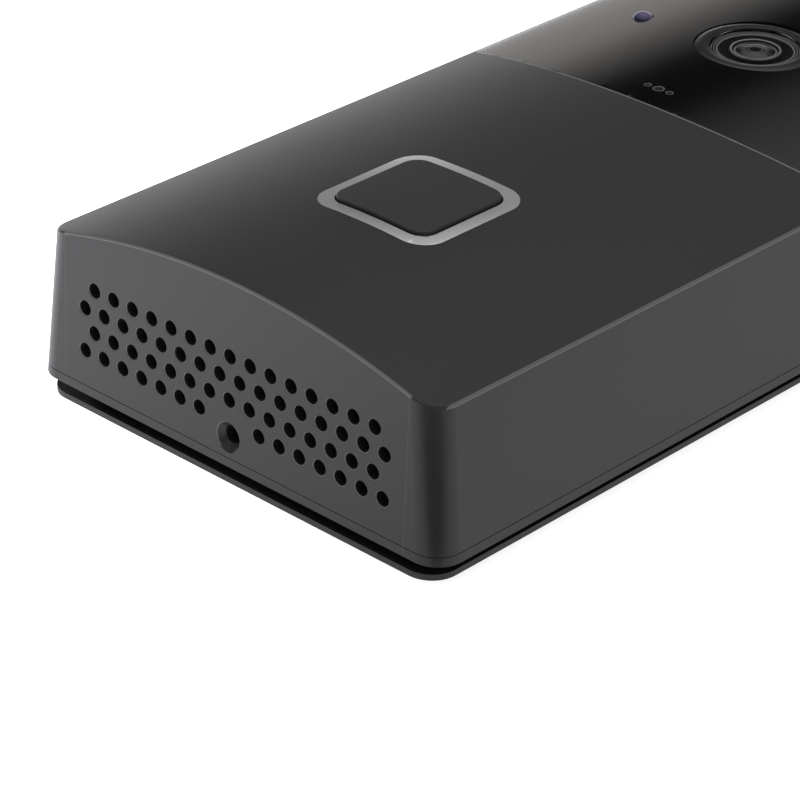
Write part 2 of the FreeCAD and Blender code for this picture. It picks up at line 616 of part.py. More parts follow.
cover_screw_sinks = [rod("cover_sink_%d" % (i + 1), x, y, "0", "screw_head_radius",
                         BACK + " + screw_head_height") for i, (x, y) in enumerate(POSTS)]
usb_way = box("usb_way", ("-usb_width / 2 - 0.5", "usb_width / 2 + 0.5"),
              (USB_Y + " - usb_height / 2 - 0.5", USB_Y + " + usb_height / 2 + 0.5"), ("0", "edge_height"))
usb_sink = box("usb_sink", ("-usb_width / 2 - 1.6", "usb_width / 2 + 1.6"),
               (USB_Y + " - usb_height / 2 - 1.6", USB_Y + " + usb_height / 2 + 1.6"),
               ("0", BACK + " + 0.6"))
reset_way = rod("reset_way", "0", RESET_Y, "0", "reset_radius + 0.1", "edge_height")
TERMINALS = [(sign + "terminal_offset", TERMINAL_Y) for sign in ("-", "")]
terminal_ways = [rod("terminal_way_%d" % (i + 1), x, y, "0", "1.9", "edge_height")
                 for i, (x, y) in enumerate(TERMINALS)]
lip_cut = cut("lip_cut", cover_lip, *lip_reliefs)
rear_cover = cut("rear_cover", fuse("cover_blank", cover_floor, lip_cut), door_opening, lug_opening,
                 *hook_slots, *cover_screw_ways, *cover_screw_sinks, usb_way, usb_sink, reset_way,
                 *terminal_ways)


def pan_screw(label, x, y, z="0", shank="6.0", radius="screw_radius", head="screw_head_radius",
              height="screw_head_height"):
    """A cross-head screw that points into the housing, its head at height z."""
    head_part = rod(label + "_head", x, y, z, head, height)
    shank_part = rod(label + "_shank", x, y, z, radius, shank)
    slot_a = box(label + "_slot_a", (x + " - 0.9", x + " + 0.9"), (y + " - 0.2", y + " + 0.2"),
                 (z + " - 0.1", z + " + 0.4"))
    slot_b = box(label + "_slot_b", (x + " - 0.2", x + " + 0.2"), (y + " - 0.9", y + " + 0.9"),
                 (z + " - 0.1", z + " + 0.4"))
    return cut(label, fuse(label + "_blank", head_part, shank_part), slot_a, slot_b)


cover_screws = copies("cover_screws", lambda label, x, y: pan_screw(label, x, y, BACK), POSTS)

# ---------------------------------------------------------------- cell bay, cells and contacts
CELLS = [("-cell_offset",), ("cell_offset",)]
TROUGH_HALF = "(cell_radius + cell_gap + bay_wall)"
BAY_TOP = "(%s + 6)" % CELL_Z
FACE_START = "(%s + bay_wall)" % BAY_START
FACE_END = "(%s - bay_wall)" % BAY_END
DOOR_SCREWS = [("0", BAY_START + " + 3.6"), ("0", BAY_END + " - 3.6")]
cheeks = [box("cheek_%d" % (i + 1), ("%s - %s" % (x, TROUGH_HALF), "%s + %s" % (x, TROUGH_HALF)),
              (BAY_START, BAY_END), (CELL_Z + " - 3", BAY_TOP)) for i, (x,) in enumerate(CELLS)]
ends = [box("bay_end_%d" % (i + 1), ("-cell_offset - %s" % TROUGH_HALF, "cell_offset + %s" % TROUGH_HALF),
            (a, b), (SEAM + " + 0.4", BAY_TOP))
        for i, (a, b) in enumerate(((BAY_START, FACE_START), (FACE_END, BAY_END)))]
door_posts = [rod("door_post_%d" % (i + 1), x, y, SEAM + " + 0.4", "2.6", "9") for i,
              (x, y) in enumerate(DOOR_SCREWS)]
door_post_webs = [box("door_web_1", ("-1", "1"), (BAY_START, DOOR_SCREWS[0][1]),
                      (SEAM + " + 0.4", SEAM + " + 9")),
                  box("door_web_2", ("-1", "1"), (DOOR_SCREWS[1][1], BAY_END),
                      (SEAM + " + 0.4", SEAM + " + 9"))]
hollows = [rod("trough_%d" % (i + 1), x, FACE_START, CELL_Z, "cell_radius + cell_gap",
               "%s - 2 * bay_wall" % BAY_LENGTH, "+Y") for i, (x,) in enumerate(CELLS)]
wire_notches = [box("wire_notch_%d" % (i + 1), ("3.2", "6.4"), (a + " - 1", a + " + 2.4"), ("7.6", "11"))
                for i, a in enumerate((BAY_START, FACE_END))]
door_pilots = [rod("door_pilot_%d" % (i + 1), x, y, SEAM, "screw_radius", "8") for i,
               (x, y) in enumerate(DOOR_SCREWS)]
battery_cradle = cut("battery_cradle", fuse("cradle_blank", *cheeks, *ends, *door_posts, *door_post_webs),
                     *hollows, *wire_notches, *door_pilots)


def cell(label, x):
    """One cylindrical cell with its raised positive cap."""
    start = FACE_START + " + 0.3 + (contact_space - 0.6)"
    can = rod(label + "_can", x, start, CELL_Z, "cell_radius", "cell_length - 0.8", "+Y")
    cap = rod(label + "_cap", x, start, CELL_Z, "2.8", "cell_length", "+Y")
    return fuse(label, can, cap)


def contact_pair(label, x):
    """A flat plate for the cap and a plate with a conical spring for the can."""
    flat = box(label + "_flat", (x + " - 4", x + " + 4"), (FACE_END + " - 0.3", FACE_END),
               (CELL_Z + " - 4", CELL_Z + " + 4"))
    base = box(label + "_base", (x + " - 4", x + " + 4"), (FACE_START, FACE_START + " + 0.3"),
               (CELL_Z + " - 4", CELL_Z + " + 4"))
    spring = cone(label + "_spring", x, FACE_START + " + 0.2", CELL_Z, "3.6", "1.8", "contact_space - 0.5",
                  "+Y")
    hollow = cone(label + "_hollow", x, FACE_START + " + 0.35", CELL_Z, "3.1", "1.3", "contact_space", "+Y")
    return group(label, flat, cut(label + "_sprung", fuse(label + "_blank", base, spring), hollow))


battery_cells = copies("battery_cells", cell, CELLS)
battery_contacts = copies("battery_contacts", contact_pair, CELLS)

# ---------------------------------------------------------------- battery door
DOOR_MID = "(%s + %s) / 2" % (BAY_START, BAY_END)
door_plate = rounded_prism("door_plate", "0", DOOR_MID, "2 * %s - 2 * fit_gap" % DOOR_HALF,
                           BAY_LENGTH + " - 2 * fit_gap", "2.0 - fit_gap", BACK, SEAM)
door_ways = [rod("door_way_%d" % (i + 1), x, y, "0", "screw_radius", "edge_height") for i,
             (x, y) in enumerate(DOOR_SCREWS)]
door_sinks = [rod("door_sink_%d" % (i + 1), x, y, "0", "screw_head_radius", BACK + " + screw_head_height")
              for i, (x, y) in enumerate(DOOR_SCREWS)]
door_grip = rounded_prism("door_grip", "0", BAY_END + " - 10", "16", "3", "1.4", "0", BACK + " + 0.5")
battery_door = cut("battery_door", door_plate, *door_ways, *door_sinks, door_grip)
door_screws = copies("door_screws", lambda label, x, y: pan_screw(label, x, y, BACK), DOOR_SCREWS)

# ---------------------------------------------------------------- speaker behind the grille
SPEAKER_LOW = "(lug_height + 1.4)"
SPEAKER_HIGH = "(%s + speaker_height)" % SPEAKER_LOW
MESH_SPAN = ("-27.5", "27.5")


def end_layer(label, near, deep, x, z, hole=None):
    """A sheet that lies against the inside of the lower end wall."""
    block = box(label + "_block", x, ("-body_length", "-%s + wall + 6" % HALF_LENGTH), z)
    layer = common(label + "_near_part", block, shell_block(label + "_near_form", near, near, BACK))
    tools = [shell_block(label + "_deep_form", deep, deep, BACK)]
    if hole:
        tools.append(hole)
    return cut(label, layer, *tools)


grille_mesh = end_layer("grille_mesh", "wall", "wall + mesh_thickness", MESH_SPAN,
                        (SPEAKER_LOW + " - 2.6", SPEAKER_HIGH + " - 3.6"))
SPEAKER_X = ("-speaker_width / 2", "speaker_width / 2")
gasket_hole = box("gasket_hole", ("-speaker_width / 2 + 1.6", "speaker_width / 2 - 1.6"),
                  ("-body_length", "0"), (SPEAKER_LOW + " + 1.6", SPEAKER_HIGH + " - 5.2"))
speaker_gasket = end_layer("speaker_gasket", "wall + mesh_thickness",
                           "wall + mesh_thickness + gasket_thickness",
                           SPEAKER_X, (SPEAKER_LOW, SPEAKER_HIGH + " - 3.6"), gasket_hole)
SPEAKER_STACK = "wall + mesh_thickness + gasket_thickness + speaker_depth"
SPEAKER_BACK = "(%s - %s + edge_height * tan(end_draft))" % (SPEAKER_STACK, HALF_LENGTH)
speaker_block = common("speaker_block",
                       box("speaker_box", SPEAKER_X, ("-body_length", SPEAKER_BACK),
                           (SPEAKER_LOW, SPEAKER_HIGH)),
                       shell_block("speaker_form", "wall + mesh_thickness + gasket_thickness",
                                   "wall + mesh_thickness + gasket_thickness", BACK))
SPEAKER_Z = "(%s + speaker_height / 2)" % SPEAKER_LOW
CONE_HALF_W = "(speaker_width / 2 - 2.4)"
CONE_HALF_H = "(speaker_height / 2 - 2.2)"
cone_space = box("cone_space", ("-%s - 0.3" % CONE_HALF_W, CONE_HALF_W + " + 0.3"),
                 ("-body_length", SPEAKER_BACK + " - 1.2"),
                 (SPEAKER_Z + " - %s - 0.3" % CONE_HALF_H, SPEAKER_Z + " + %s + 0.3" % CONE_HALF_H))
coil_space = rod("coil_space", "0", SPEAKER_BACK + " - 2", SPEAKER_Z, "3.8", "4", "+Y")
speaker_frame = cut("speaker_frame", speaker_block, cone_space, coil_space)
magnet_can = rod("magnet_can", "0", SPEAKER_BACK, SPEAKER_Z, "5.6",
                 "%s - 0.2 - %s" % (BAY_START, SPEAKER_BACK), "+Y")
magnet_gap = cut("magnet_gap", rod("magnet_gap_out", "0", SPEAKER_BACK + " - 1", SPEAKER_Z, "3.8", "2.8",
                                   "+Y"),
                 rod("magnet_gap_in", "0", SPEAKER_BACK + " - 2", SPEAKER_Z, "2.4", "5", "+Y"))
speaker_magnet = cut("speaker_magnet", magnet_can, magnet_gap)
cone_plate = box("cone_plate", ("-" + CONE_HALF_W, CONE_HALF_W),
                 (SPEAKER_BACK + " - 2.6", SPEAKER_BACK + " - 2.0"),
                 (SPEAKER_Z + " - " + CONE_HALF_H, SPEAKER_Z + " + " + CONE_HALF_H))
coil = cut("coil", rod("coil_out", "0", SPEAKER_BACK + " - 2.2", SPEAKER_Z, "3.4", "3.0", "+Y"),
           rod("coil_in", "0", SPEAKER_BACK + " - 1.9", SPEAKER_Z, "2.8", "4", "+Y"))
speaker_cone = fuse("speaker_cone", cone_plate, coil)

# ---------------------------------------------------------------- camera
BEZEL_TOP = "(%s - bezel_sink)" % CREST
BEZEL_SEAT = "(%s - bezel_seat_depth)" % CREST
lens_bezel = turned("lens_bezel", [
    ("bezel_bore", CREST + " - bezel_depth"), (BEZEL_STEM, CREST + " - bezel_depth"),
    (BEZEL_STEM, BEZEL_SEAT), ("bezel_radius", BEZEL_SEAT), ("bezel_radius", BEZEL_TOP + " - 0.12"),
    ("bezel_radius - 0.12", BEZEL_TOP), ("bezel_radius - 0.3", BEZEL_TOP),
    ("bezel_bore", BEZEL_TOP + " - 0.15")],
    y=LENS_Y)
GLASS_TOP = "(%s - glass_sink)" % BEZEL_TOP
lens_glass = rod("lens_glass", "0", LENS_Y, GLASS_TOP + " - glass_thickness", "bezel_bore",
                 "glass_thickness")
BARREL_TOP = "(%s - glass_thickness - 0.1)" % GLASS_TOP
BARREL_LOW = "(%s - barrel_depth)" % BARREL_TOP
BARREL_FLANGE = "(barrel_radius + 1.2)"
LENS_SEAT = "(%s - 2.4)" % BARREL_TOP
lens_barrel = turned("lens_barrel", [
    ("front_lens_radius - 0.6", BARREL_LOW), (BARREL_FLANGE, BARREL_LOW),
    (BARREL_FLANGE, BARREL_LOW + " + 3"), ("barrel_radius", BARREL_LOW + " + 3"),
    ("barrel_radius", BARREL_TOP), ("ring_line_radius", BARREL_TOP),
    ("ring_line_radius - 0.25", BARREL_TOP + " - 0.35"), ("front_lens_radius + 0.3",
                                                          BARREL_TOP + " - 0.35"),
    ("front_lens_radius + 0.2", BARREL_TOP + " - 0.1"), ("front_lens_radius", BARREL_TOP + " - 0.1"),
    ("front_lens_radius", LENS_SEAT), ("front_lens_radius - 0.6", LENS_SEAT)],
    y=LENS_Y)
front_lens = turned("front_lens", [
    ("0", LENS_SEAT), ("front_lens_radius - 0.05", LENS_SEAT),
    ("front_lens_radius - 0.05", BARREL_TOP + " - 0.4"), ("front_lens_radius * 0.8",
                                                          BARREL_TOP + " - 0.22"),
    ("front_lens_radius * 0.5", BARREL_TOP + " - 0.08"), ("0", BARREL_TOP)], y=LENS_Y)
sensor_board = box("sensor_board", ("-9", "9"), (LENS_Y + " - 9", LENS_Y + " + 9"),
                   (BARREL_LOW + " - board_thickness", BARREL_LOW))
CROWN_DROP_LED = "(%s - sqrt(%s * %s - led_offset * led_offset))" % (CROWN_RADIUS, CROWN_RADIUS,
                                                                     CROWN_RADIUS)
LED_TOP = "(%s - %s + led_proud)" % (CREST, CROWN_DROP_LED)
FRONT_TOP = "(%s + board_thickness)" % FRONT_BOARD


def led(label, x):
    """A round infra-red emitter with a domed nose, standing on the front board."""
    return turned(label, [
        ("0", FRONT_TOP), ("led_radius", FRONT_TOP), ("led_radius", LED_TOP + " - led_dome"),
        ("led_radius * 0.92", LED_TOP + " - led_dome * 0.61"),
                          ("led_radius * 0.7", LED_TOP + " - led_dome * 0.29"),
        ("led_radius * 0.4", LED_TOP + " - led_dome * 0.08"), ("0", LED_TOP)],
        x=x, y=LED_Y)


infrared_leds = copies("infrared_leds", led, [("-led_offset",), ("led_offset",)])

# ---------------------------------------------------------------- boards and what they carry
BOARD_START = "(%s + board_margin)" % BAY_END
BOARD_END = "(%s - wall - board_margin - 1.6)" % HALF_LENGTH
front_plate = box("front_plate", ("-board_half_width", "board_half_width"), (BOARD_START, BOARD_END),
                  (FRONT_BOARD, FRONT_TOP))
front_tongue = box("front_tongue", ("-7", "7"), (DOTS_Y + " - 4.5", BOARD_START + " + 1"),
                   (FRONT_BOARD, FRONT_TOP))
front_board = cut("front_board", fuse("front_board_blank", front_plate, front_tongue),
                  rod("barrel_way", "0", LENS_Y, SEAM, "barrel_radius + 0.5", "2 * edge_height"))
microphone = box("microphone", ("-1.9", "1.9"), (DOTS_Y + " - 1.4", DOTS_Y + " + 1.4"),
                 (FRONT_TOP, FRONT_TOP + " + 1.1"))
mic_gasket = cut("mic_gasket",
                 rod("mic_gasket_out", "0", DOTS_Y, FRONT_TOP + " + 1.1", "1.35",
                     INNER_CREST + " - %s - 1.1" % FRONT_TOP),
                 rod("mic_gasket_in", "0", DOTS_Y, FRONT_TOP, "0.6", "edge_height"))
status_leds = copies("status_leds", lambda label, x: rod(label, x, DOTS_Y, FRONT_TOP, "0.4", "2.6"),
                     [("-dot_offset - 0.6",), ("dot_offset + 0.6",)])
BUTTON_BOARD_TOP = "(%s + board_thickness)" % BUTTON_BOARD
BUTTON_BOARD_HALF = "(ring_size / 2 + button_board_room)"
button_board = box("button_board", ("-" + BUTTON_BOARD_HALF, BUTTON_BOARD_HALF),
                   (BUTTON_Y + " - 7", BUTTON_Y + " + 7"),
                   (BUTTON_BOARD, BUTTON_BOARD_TOP))
HALF_SWITCH = "(switch_size / 2)"
tact_switch = cut("tact_switch",
                  box("switch_block", ("-" + HALF_SWITCH, HALF_SWITCH),
                      (BUTTON_Y + " - " + HALF_SWITCH, BUTTON_Y + " + " + HALF_SWITCH),
                      (BUTTON_BOARD_TOP, SWITCH_TOP)),
                  rod("switch_bore", "0", BUTTON_Y, SWITCH_TOP + " - button_travel - 0.4",
                      "plunger_radius + 0.05", "3"))
switch_plunger = rod("switch_plunger", "0", BUTTON_Y, SWITCH_TOP + " - 0.3", "plunger_radius",
                     "%s - 0.05 - %s + 0.3" % (FLANGE_BACK, SWITCH_TOP))
ring_leds = copies("ring_leds", lambda label, x, y: box(label, (x + " - 0.8", x + " + 0.8"),
                                                        (y + " - 0.5", y + " + 0.5"),
                                                       (BUTTON_BOARD_TOP, BUTTON_BOARD_TOP + " + 0.6")),
                   [(sx + "8.6", BUTTON_Y + sy + " 5") for sx in ("", "-") for sy in (" +", " -")])
MAIN_TOP = "(main_board_height + board_thickness)"
main_board = box("main_board", ("-board_half_width", "board_half_width"), (BOARD_START, BOARD_END),
                 ("main_board_height", MAIN_TOP))
processor_shield = box("processor_shield", ("-19", "-3"), (BOARD_START + " + 24", BOARD_START + " + 40"),
                       (MAIN_TOP, MAIN_TOP + " + 1.8"))
wifi_module = box("wifi_module", ("4", "20"), (BOARD_START + " + 26", BOARD_START + " + 38"),
                  (MAIN_TOP, MAIN_TOP + " + 1.6"))
antenna_strip = box("antenna_strip", ("6", "22"), (BOARD_START + " + 42", BOARD_START + " + 46"),
                    (MAIN_TOP, MAIN_TOP + " + 0.4"))
flex_body = doc.addObject("PartDesign::Body", "flex_cable")
flex_line = sketch_on(flex_body, "YZ_Plane", "flex_line")
polygon(flex_line, [(BOARD_END + " - 6", MAIN_TOP), (BOARD_END + " + 0.9", MAIN_TOP),
                    (BOARD_END + " + 0.9", FRONT_BOARD),
                    (BOARD_END + " - 6", FRONT_BOARD), (BOARD_END + " - 6", FRONT_BOARD + " - 0.3"),
                    (BOARD_END + " + 0.6", FRONT_BOARD + " - 0.3"),
                    (BOARD_END + " + 0.6", MAIN_TOP + " + 0.3"),
                    (BOARD_END + " - 6", MAIN_TOP + " + 0.3")])
pad(flex_body, flex_line, "10", "flex_width", middle=True)
USB_LOW = "(%s + 0.5)" % SEAM
usb_socket = cut("usb_socket",
                 box("usb_shell", ("-usb_width / 2", "usb_width / 2"),
                     (USB_Y + " - usb_height / 2", USB_Y + " + usb_height / 2"),
                     (USB_LOW, "main_board_height")),
                 box("usb_mouth", ("-usb_width / 2 + 0.4", "usb_width / 2 - 0.4"),
                     (USB_Y + " - usb_height / 2 + 0.4", USB_Y + " + usb_height / 2 - 0.4"),
                     (USB_LOW + " - 1", "main_board_height - 0.6")))
usb_stem = box("usb_stem", ("-usb_width / 2 + 0.7", "usb_width / 2 - 0.7"),
               (USB_Y + " - usb_height / 2 + 0.7", USB_Y + " + usb_height / 2 - 0.7"),
               (BACK, USB_LOW + " + 1.4"))
usb_flange = box("usb_flange", ("-usb_width / 2 - 1.3", "usb_width / 2 + 1.3"),
                 (USB_Y + " - usb_height / 2 - 1.3", USB_Y + " + usb_height / 2 + 1.3"),
                 (BACK, BACK + " + 0.5"))
usb_plug = fuse("usb_plug", usb_stem, usb_flange)
RESET_FACE = "(%s + 0.2)" % BACK
RESET_TOP = "(main_board_height - 1.5 - reset_travel - 0.1)"
reset_stem = rod("reset_stem", "0", RESET_Y, RESET_FACE, "reset_radius",
                 "%s - %s" % (RESET_TOP, RESET_FACE))
reset_collar = rod("reset_collar", "0", RESET_Y, SEAM + " + 0.1", "reset_radius + 0.7", "0.6")
reset_button = fuse("reset_button", reset_stem, reset_collar)
reset_switch = box("reset_switch", ("-2.2", "2.2"), (RESET_Y + " - 2.2", RESET_Y + " + 2.2"),
                   ("main_board_height - 1.5", "main_board_height"))
terminal_bushes = copies("terminal_bushes",
                         lambda label, x, y: cut(label, rod(label + "_out", x, y, BACK, "1.9",
                                                            "main_board_height - %s" % BACK),
                                                 rod(label + "_in", x, y, BACK + " - 1", "1.2", "8")),
                         TERMINALS)
terminal_screws = copies("terminal_screws",
                         lambda label, x, y: pan_screw(label, x, y, BACK + " - 1.2", "4.6", "1.2", "2.6",
                                                       "1.2"), TERMINALS)
speaker_lead = copies("speaker_lead", lambda label, x: rod(label, x, SPEAKER_BACK, MAIN_TOP + " + 0.5",
                                                           "0.5",
                                                          "%s - %s + 3" % (BOARD_START, SPEAKER_BACK),
                                                           "+Y"),
                      [("4.2",), ("5.4",)])
LEAD_START = "(%s + 7)" % BUTTON_Y
button_lead = copies("button_lead", lambda label, x: rod(label, x, LEAD_START, FRONT_TOP + " - 0.1", "0.35",
                                                        "%s - 4.5 - %s" % (DOTS_Y, LEAD_START), "+Y"),
                     [("-1.2",), ("0",), ("1.2",)])

# ---------------------------------------------------------------- wall bracket
PLATE_WIDTH = "(back_width - 2 * plate_side_inset)"
PLATE_LENGTH = "(body_length - 2 * plate_end_inset)"
BOSS_TOP = "(%s - boss_gap)" % BACK
WINDOW_Y = "(window_distance - body_length / 2)"
plate = rounded_prism("plate", "0", "0", PLATE_WIDTH, PLATE_LENGTH, "plate_corner_radius", "0",
                      "plate_thickness")
boss = rounded_prism("boss", "0", "0", PLATE_WIDTH + " - 2 * boss_inset",
                     PLATE_LENGTH + " - 2 * boss_inset",
                     "plate_corner_radius", "0", BOSS_TOP)
window = rounded_prism("window", "0", WINDOW_Y, "window_width", "window_length", "3.0", "-1", "edge_height")
wall_holes = []
for sx in ("", "-"):
    for sy in ("", "-"):
        place = (sx + "wall_hole_across / 2", sy + "wall_hole_along / 2")
        tag = "%s%s" % ("l" if sx else "r", "b" if sy else "t")
        wall_holes.append(rod("wall_hole_" + tag, place[0], place[1], "-1", "wall_hole_radius",
                              "edge_height"))
        wall_holes.append(cone("wall_sink_" + tag, place[0], place[1], BOSS_TOP + " - 1.2",
                               "wall_hole_radius",
                               "wall_hole_sink + 0.3", "1.3"))
lug = box("lug", ("-lug_width / 2", "lug_width / 2"), (LUG_Y, LUG_Y + " + lug_depth"),
          ("plate_thickness / 2", "lug_height"))
insert_way = rod("insert_way", "0", LUG_Y + " - 1", "screw_hole_height", "insert_radius", "lug_depth + 2",
                 "+Y")
hooks = []
for side, sign in (("left", "-"), ("right", "")):
    middle = sign + "hook_offset"
    across = (middle + " - hook_width / 2", middle + " + hook_width / 2")
    hooks.append(box("hook_leg_" + side, across, (HOOK_Y, HOOK_Y + " + hook_thickness"),
                     (BOSS_TOP + " - 0.4", SEAM + " + hook_gap + hook_thickness")))
    hooks.append(box("hook_tongue_" + side, across, (HOOK_Y, HOOK_Y + " + hook_thickness + hook_reach"),
                     (SEAM + " + hook_gap", SEAM + " + hook_gap + hook_thickness")))
wall_bracket = cut("wall_bracket", fuse("bracket_blank", plate, boss, lug, *hooks), window, *wall_holes,
                   insert_way)
thread_insert = cut("thread_insert",
                    rod("insert_out", "0", LUG_Y, "screw_hole_height", "insert_radius", "lug_depth", "+Y"),
                    rod("insert_in", "0", LUG_Y + " - 1", "screw_hole_height", "thread_radius",
                        "lug_depth + 2", "+Y"))

# ---------------------------------------------------------------- check and write
NODES = ["wall_bracket", "thread_insert", "front_housing", "camera_panel", "button_ring", "button_cap",
         "tact_switch", "switch_plunger", "ring_leds", "button_board", "lens_bezel", "lens_glass",
         "lens_barrel", "front_lens", "sensor_board", "infrared_leds", "front_board", "microphone",
         "mic_gasket", "status_leds", "main_board", "processor_shield", "wifi_module", "antenna_strip",
         "flex_cable", "speaker_frame", "speaker_magnet", "speaker_cone", "speaker_gasket", "grille_mesh",
         "speaker_lead", "button_lead", "rear_cover", "cover_seal", "cover_screws", "battery_door",
         "door_screws", "battery_cradle", "battery_cells", "battery_contacts", "usb_socket", "usb_plug",
         "reset_button", "reset_switch", "terminal_bushes", "terminal_screws"]

doc.recompute()
faults = ["%s %s" % (thing.Name, thing.State) for thing in doc.Objects
          if "Invalid" in thing.State or "Error" in thing.State]
for name in NODES:
    shape = doc.getObject(name).Shape
    if shape.isNull() or not shape.isValid() or not shape.Solids:
        faults.append("%s has no valid solid" % name)
if faults:
    raise RuntimeError("; ".join(faults))

os.makedirs("parts", exist_ok=True)
for name in NODES:
    piece = doc.getObject(name)
    piece.Label = name
    piece.Shape.exportStep("parts/%s.step" % name)
    print("%-18s solids %2d  volume %9.2f" % (name, len(piece.Shape.Solids), piece.Shape.Volume))
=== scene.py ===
# %% [markdown]
# # A battery video doorbell, lying on its back
# The engineering model gives every piece its size and place.  This lesson gives the pieces that are seen
# their finish: the crowned satin housing, the gloss camera panel, the silver ring and the call button.
# Each new piece takes the place of the plain CAD solid of the same name and rides on the same body.

# %% Load the fixed frame
import json
import math

import bmesh
import bpy
from mathutils import Matrix, Vector

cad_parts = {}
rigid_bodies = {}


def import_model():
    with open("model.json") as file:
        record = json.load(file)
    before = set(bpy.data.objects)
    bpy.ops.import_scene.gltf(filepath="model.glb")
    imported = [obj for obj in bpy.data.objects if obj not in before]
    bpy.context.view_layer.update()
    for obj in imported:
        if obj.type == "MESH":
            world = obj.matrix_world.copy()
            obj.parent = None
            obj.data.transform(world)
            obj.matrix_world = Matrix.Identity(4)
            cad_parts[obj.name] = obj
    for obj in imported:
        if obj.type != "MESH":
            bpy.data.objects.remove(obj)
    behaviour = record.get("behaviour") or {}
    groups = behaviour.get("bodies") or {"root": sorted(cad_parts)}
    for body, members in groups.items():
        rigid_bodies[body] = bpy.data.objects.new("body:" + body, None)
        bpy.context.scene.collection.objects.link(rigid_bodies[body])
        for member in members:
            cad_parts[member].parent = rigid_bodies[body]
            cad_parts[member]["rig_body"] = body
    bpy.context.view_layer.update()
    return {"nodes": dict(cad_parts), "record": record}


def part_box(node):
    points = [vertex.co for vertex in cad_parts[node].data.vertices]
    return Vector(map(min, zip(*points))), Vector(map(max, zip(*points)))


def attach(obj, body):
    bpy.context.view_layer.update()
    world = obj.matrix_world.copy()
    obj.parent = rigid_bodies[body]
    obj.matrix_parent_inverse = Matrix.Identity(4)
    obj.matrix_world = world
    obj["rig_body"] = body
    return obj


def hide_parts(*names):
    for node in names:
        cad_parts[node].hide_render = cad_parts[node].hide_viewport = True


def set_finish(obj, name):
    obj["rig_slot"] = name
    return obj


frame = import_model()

mm = 0.001
nodes = frame["nodes"]

# %% [markdown]
# ## Sizes
# The frame is in metres, so every size is written as a number of millimetres times `mm`.  Places come from
# the CAD nodes' own boxes where a box can give them.  The housing is a drafted block: its sides lean in by
# five and a half degrees and its ends by one and a half, and its front is crowned from side to side.

# %% Sizes of the housing
BODY_LENGTH = 138.0 * mm
BACK_WIDTH = 69.7 * mm
EDGE_HEIGHT = 22.6 * mm
CROWN_RISE = 4.87 * mm
SIDE_DRAFT = math.radians(5.58)
END_DRAFT = math.radians(1.63)
CORNER_RADIUS = 3.8 * mm
RIM_RADIUS = 0.3 * mm
WALL = 2.2 * mm
COVER_LOW, COVER_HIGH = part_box("rear_cover")
BACK = COVER_LOW.z
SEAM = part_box("front_housing")[0].z
EDGE_HALF = BACK_WIDTH / 2 - (EDGE_HEIGHT - BACK) * math.tan(SIDE_DRAFT)
CREST = EDGE_HEIGHT + CROWN_RISE
CROWN_RADIUS = (EDGE_HALF ** 2 + CROWN_RISE ** 2) / (2 * CROWN_RISE)


def middle(node):
    """The centre of a CAD node's box."""
    low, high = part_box(node)
    return (low + high) / 2


BUTTON = middle("button_cap")
LENS = middle("lens_bezel")
MIC = middle("mic_gasket")
LED_LOW, LED_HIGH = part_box("infrared_leds")
LED_RADIUS = (LED_HIGH.y - LED_LOW.y) / 2
LED_X = LED_HIGH.x - LED_RADIUS
LED_Y = LED_HIGH.y - LED_RADIUS


def rise(x):
    """Height of the crown above the front's side edges, at a distance from the middle."""
    return CROWN_RISE - CROWN_RADIUS + math.sqrt(max(CROWN_RADIUS ** 2 - x * x, 0.0))


print("crown radius %.1f mm, front edges at %.2f mm" % (CROWN_RADIUS / mm, EDGE_HALF / mm))

# %% [markdown]
# ## The camera
# The camera comes first, because it decides which edges need care.  It looks down from the lower right
# through a long lens, so that the lower end and the right side both show, and it is turned a little about
# its own axis.

# %% Camera
VIEW_AZIMUTH = math.radians(42.53)
VIEW_ELEVATION = math.radians(29.27)
VIEW_ROLL = math.radians(1.32)
VIEW_TARGET = Vector((28.21 * mm, -BODY_LENGTH / 2, 23.02 * mm))
VIEW_DISTANCE = 391.9 * mm
FOCAL_LENGTH = 155.45
back = Vector((math.sin(VIEW_AZIMUTH) * math.cos(VIEW_ELEVATION),
               -math.cos(VIEW_AZIMUTH) * math.cos(VIEW_ELEVATION), math.sin(VIEW_ELEVATION)))
level = Vector((-back.y, back.x, 0.0)).normalized()
upright = back.cross(level)
across = level * math.cos(VIEW_ROLL) + upright * math.sin(VIEW_ROLL)
upward = upright * math.cos(VIEW_ROLL) - level * math.sin(VIEW_ROLL)
bpy.ops.object.camera_add(location=VIEW_TARGET + back * VIEW_DISTANCE)
camera = bpy.context.object
camera.name = "camera"
turn = Matrix((across, upward, back)).transposed()
camera.rotation_euler = turn.to_euler()
camera.data.sensor_width = 36.0
camera.data.lens = FOCAL_LENGTH
camera.data.clip_start = 0.01
camera.data.clip_end = 20.0
bpy.context.scene.camera = camera
bpy.context.scene.view_settings.view_transform = "Standard"
print("camera at", [round(c, 3) for c in camera.location])

# %% [markdown]
# ## Modelling by hand, in code
# Every operator works on what is selected, so each helper starts by clearing the selection.  Places are
# baked into the meshes at once: a finished object sits at the origin, as the CAD nodes do.

# %% Helpers for modelling


def only(thing):
    """Select one object and make it active."""
    if bpy.context.object and bpy.context.object.mode != "OBJECT":
        bpy.ops.object.mode_set(mode="OBJECT")
    bpy.ops.object.select_all(action="DESELECT")
    thing.select_set(True)
    bpy.context.view_layer.objects.active = thing


def settle(name):
    """Name the new primitive and put its place into its mesh."""
    thing = bpy.context.object
    only(thing)
    bpy.ops.object.transform_apply(location=True, rotation=True, scale=True)
    thing.name = name
    thing.data.name = name
    return thing


def block(name, low, high):
    """A box between two corners."""
    low, high = Vector(low), Vector(high)
    bpy.ops.object.select_all(action="DESELECT")
    bpy.ops.mesh.primitive_cube_add(size=1, location=(low + high) / 2, scale=high - low)
    return settle(name)


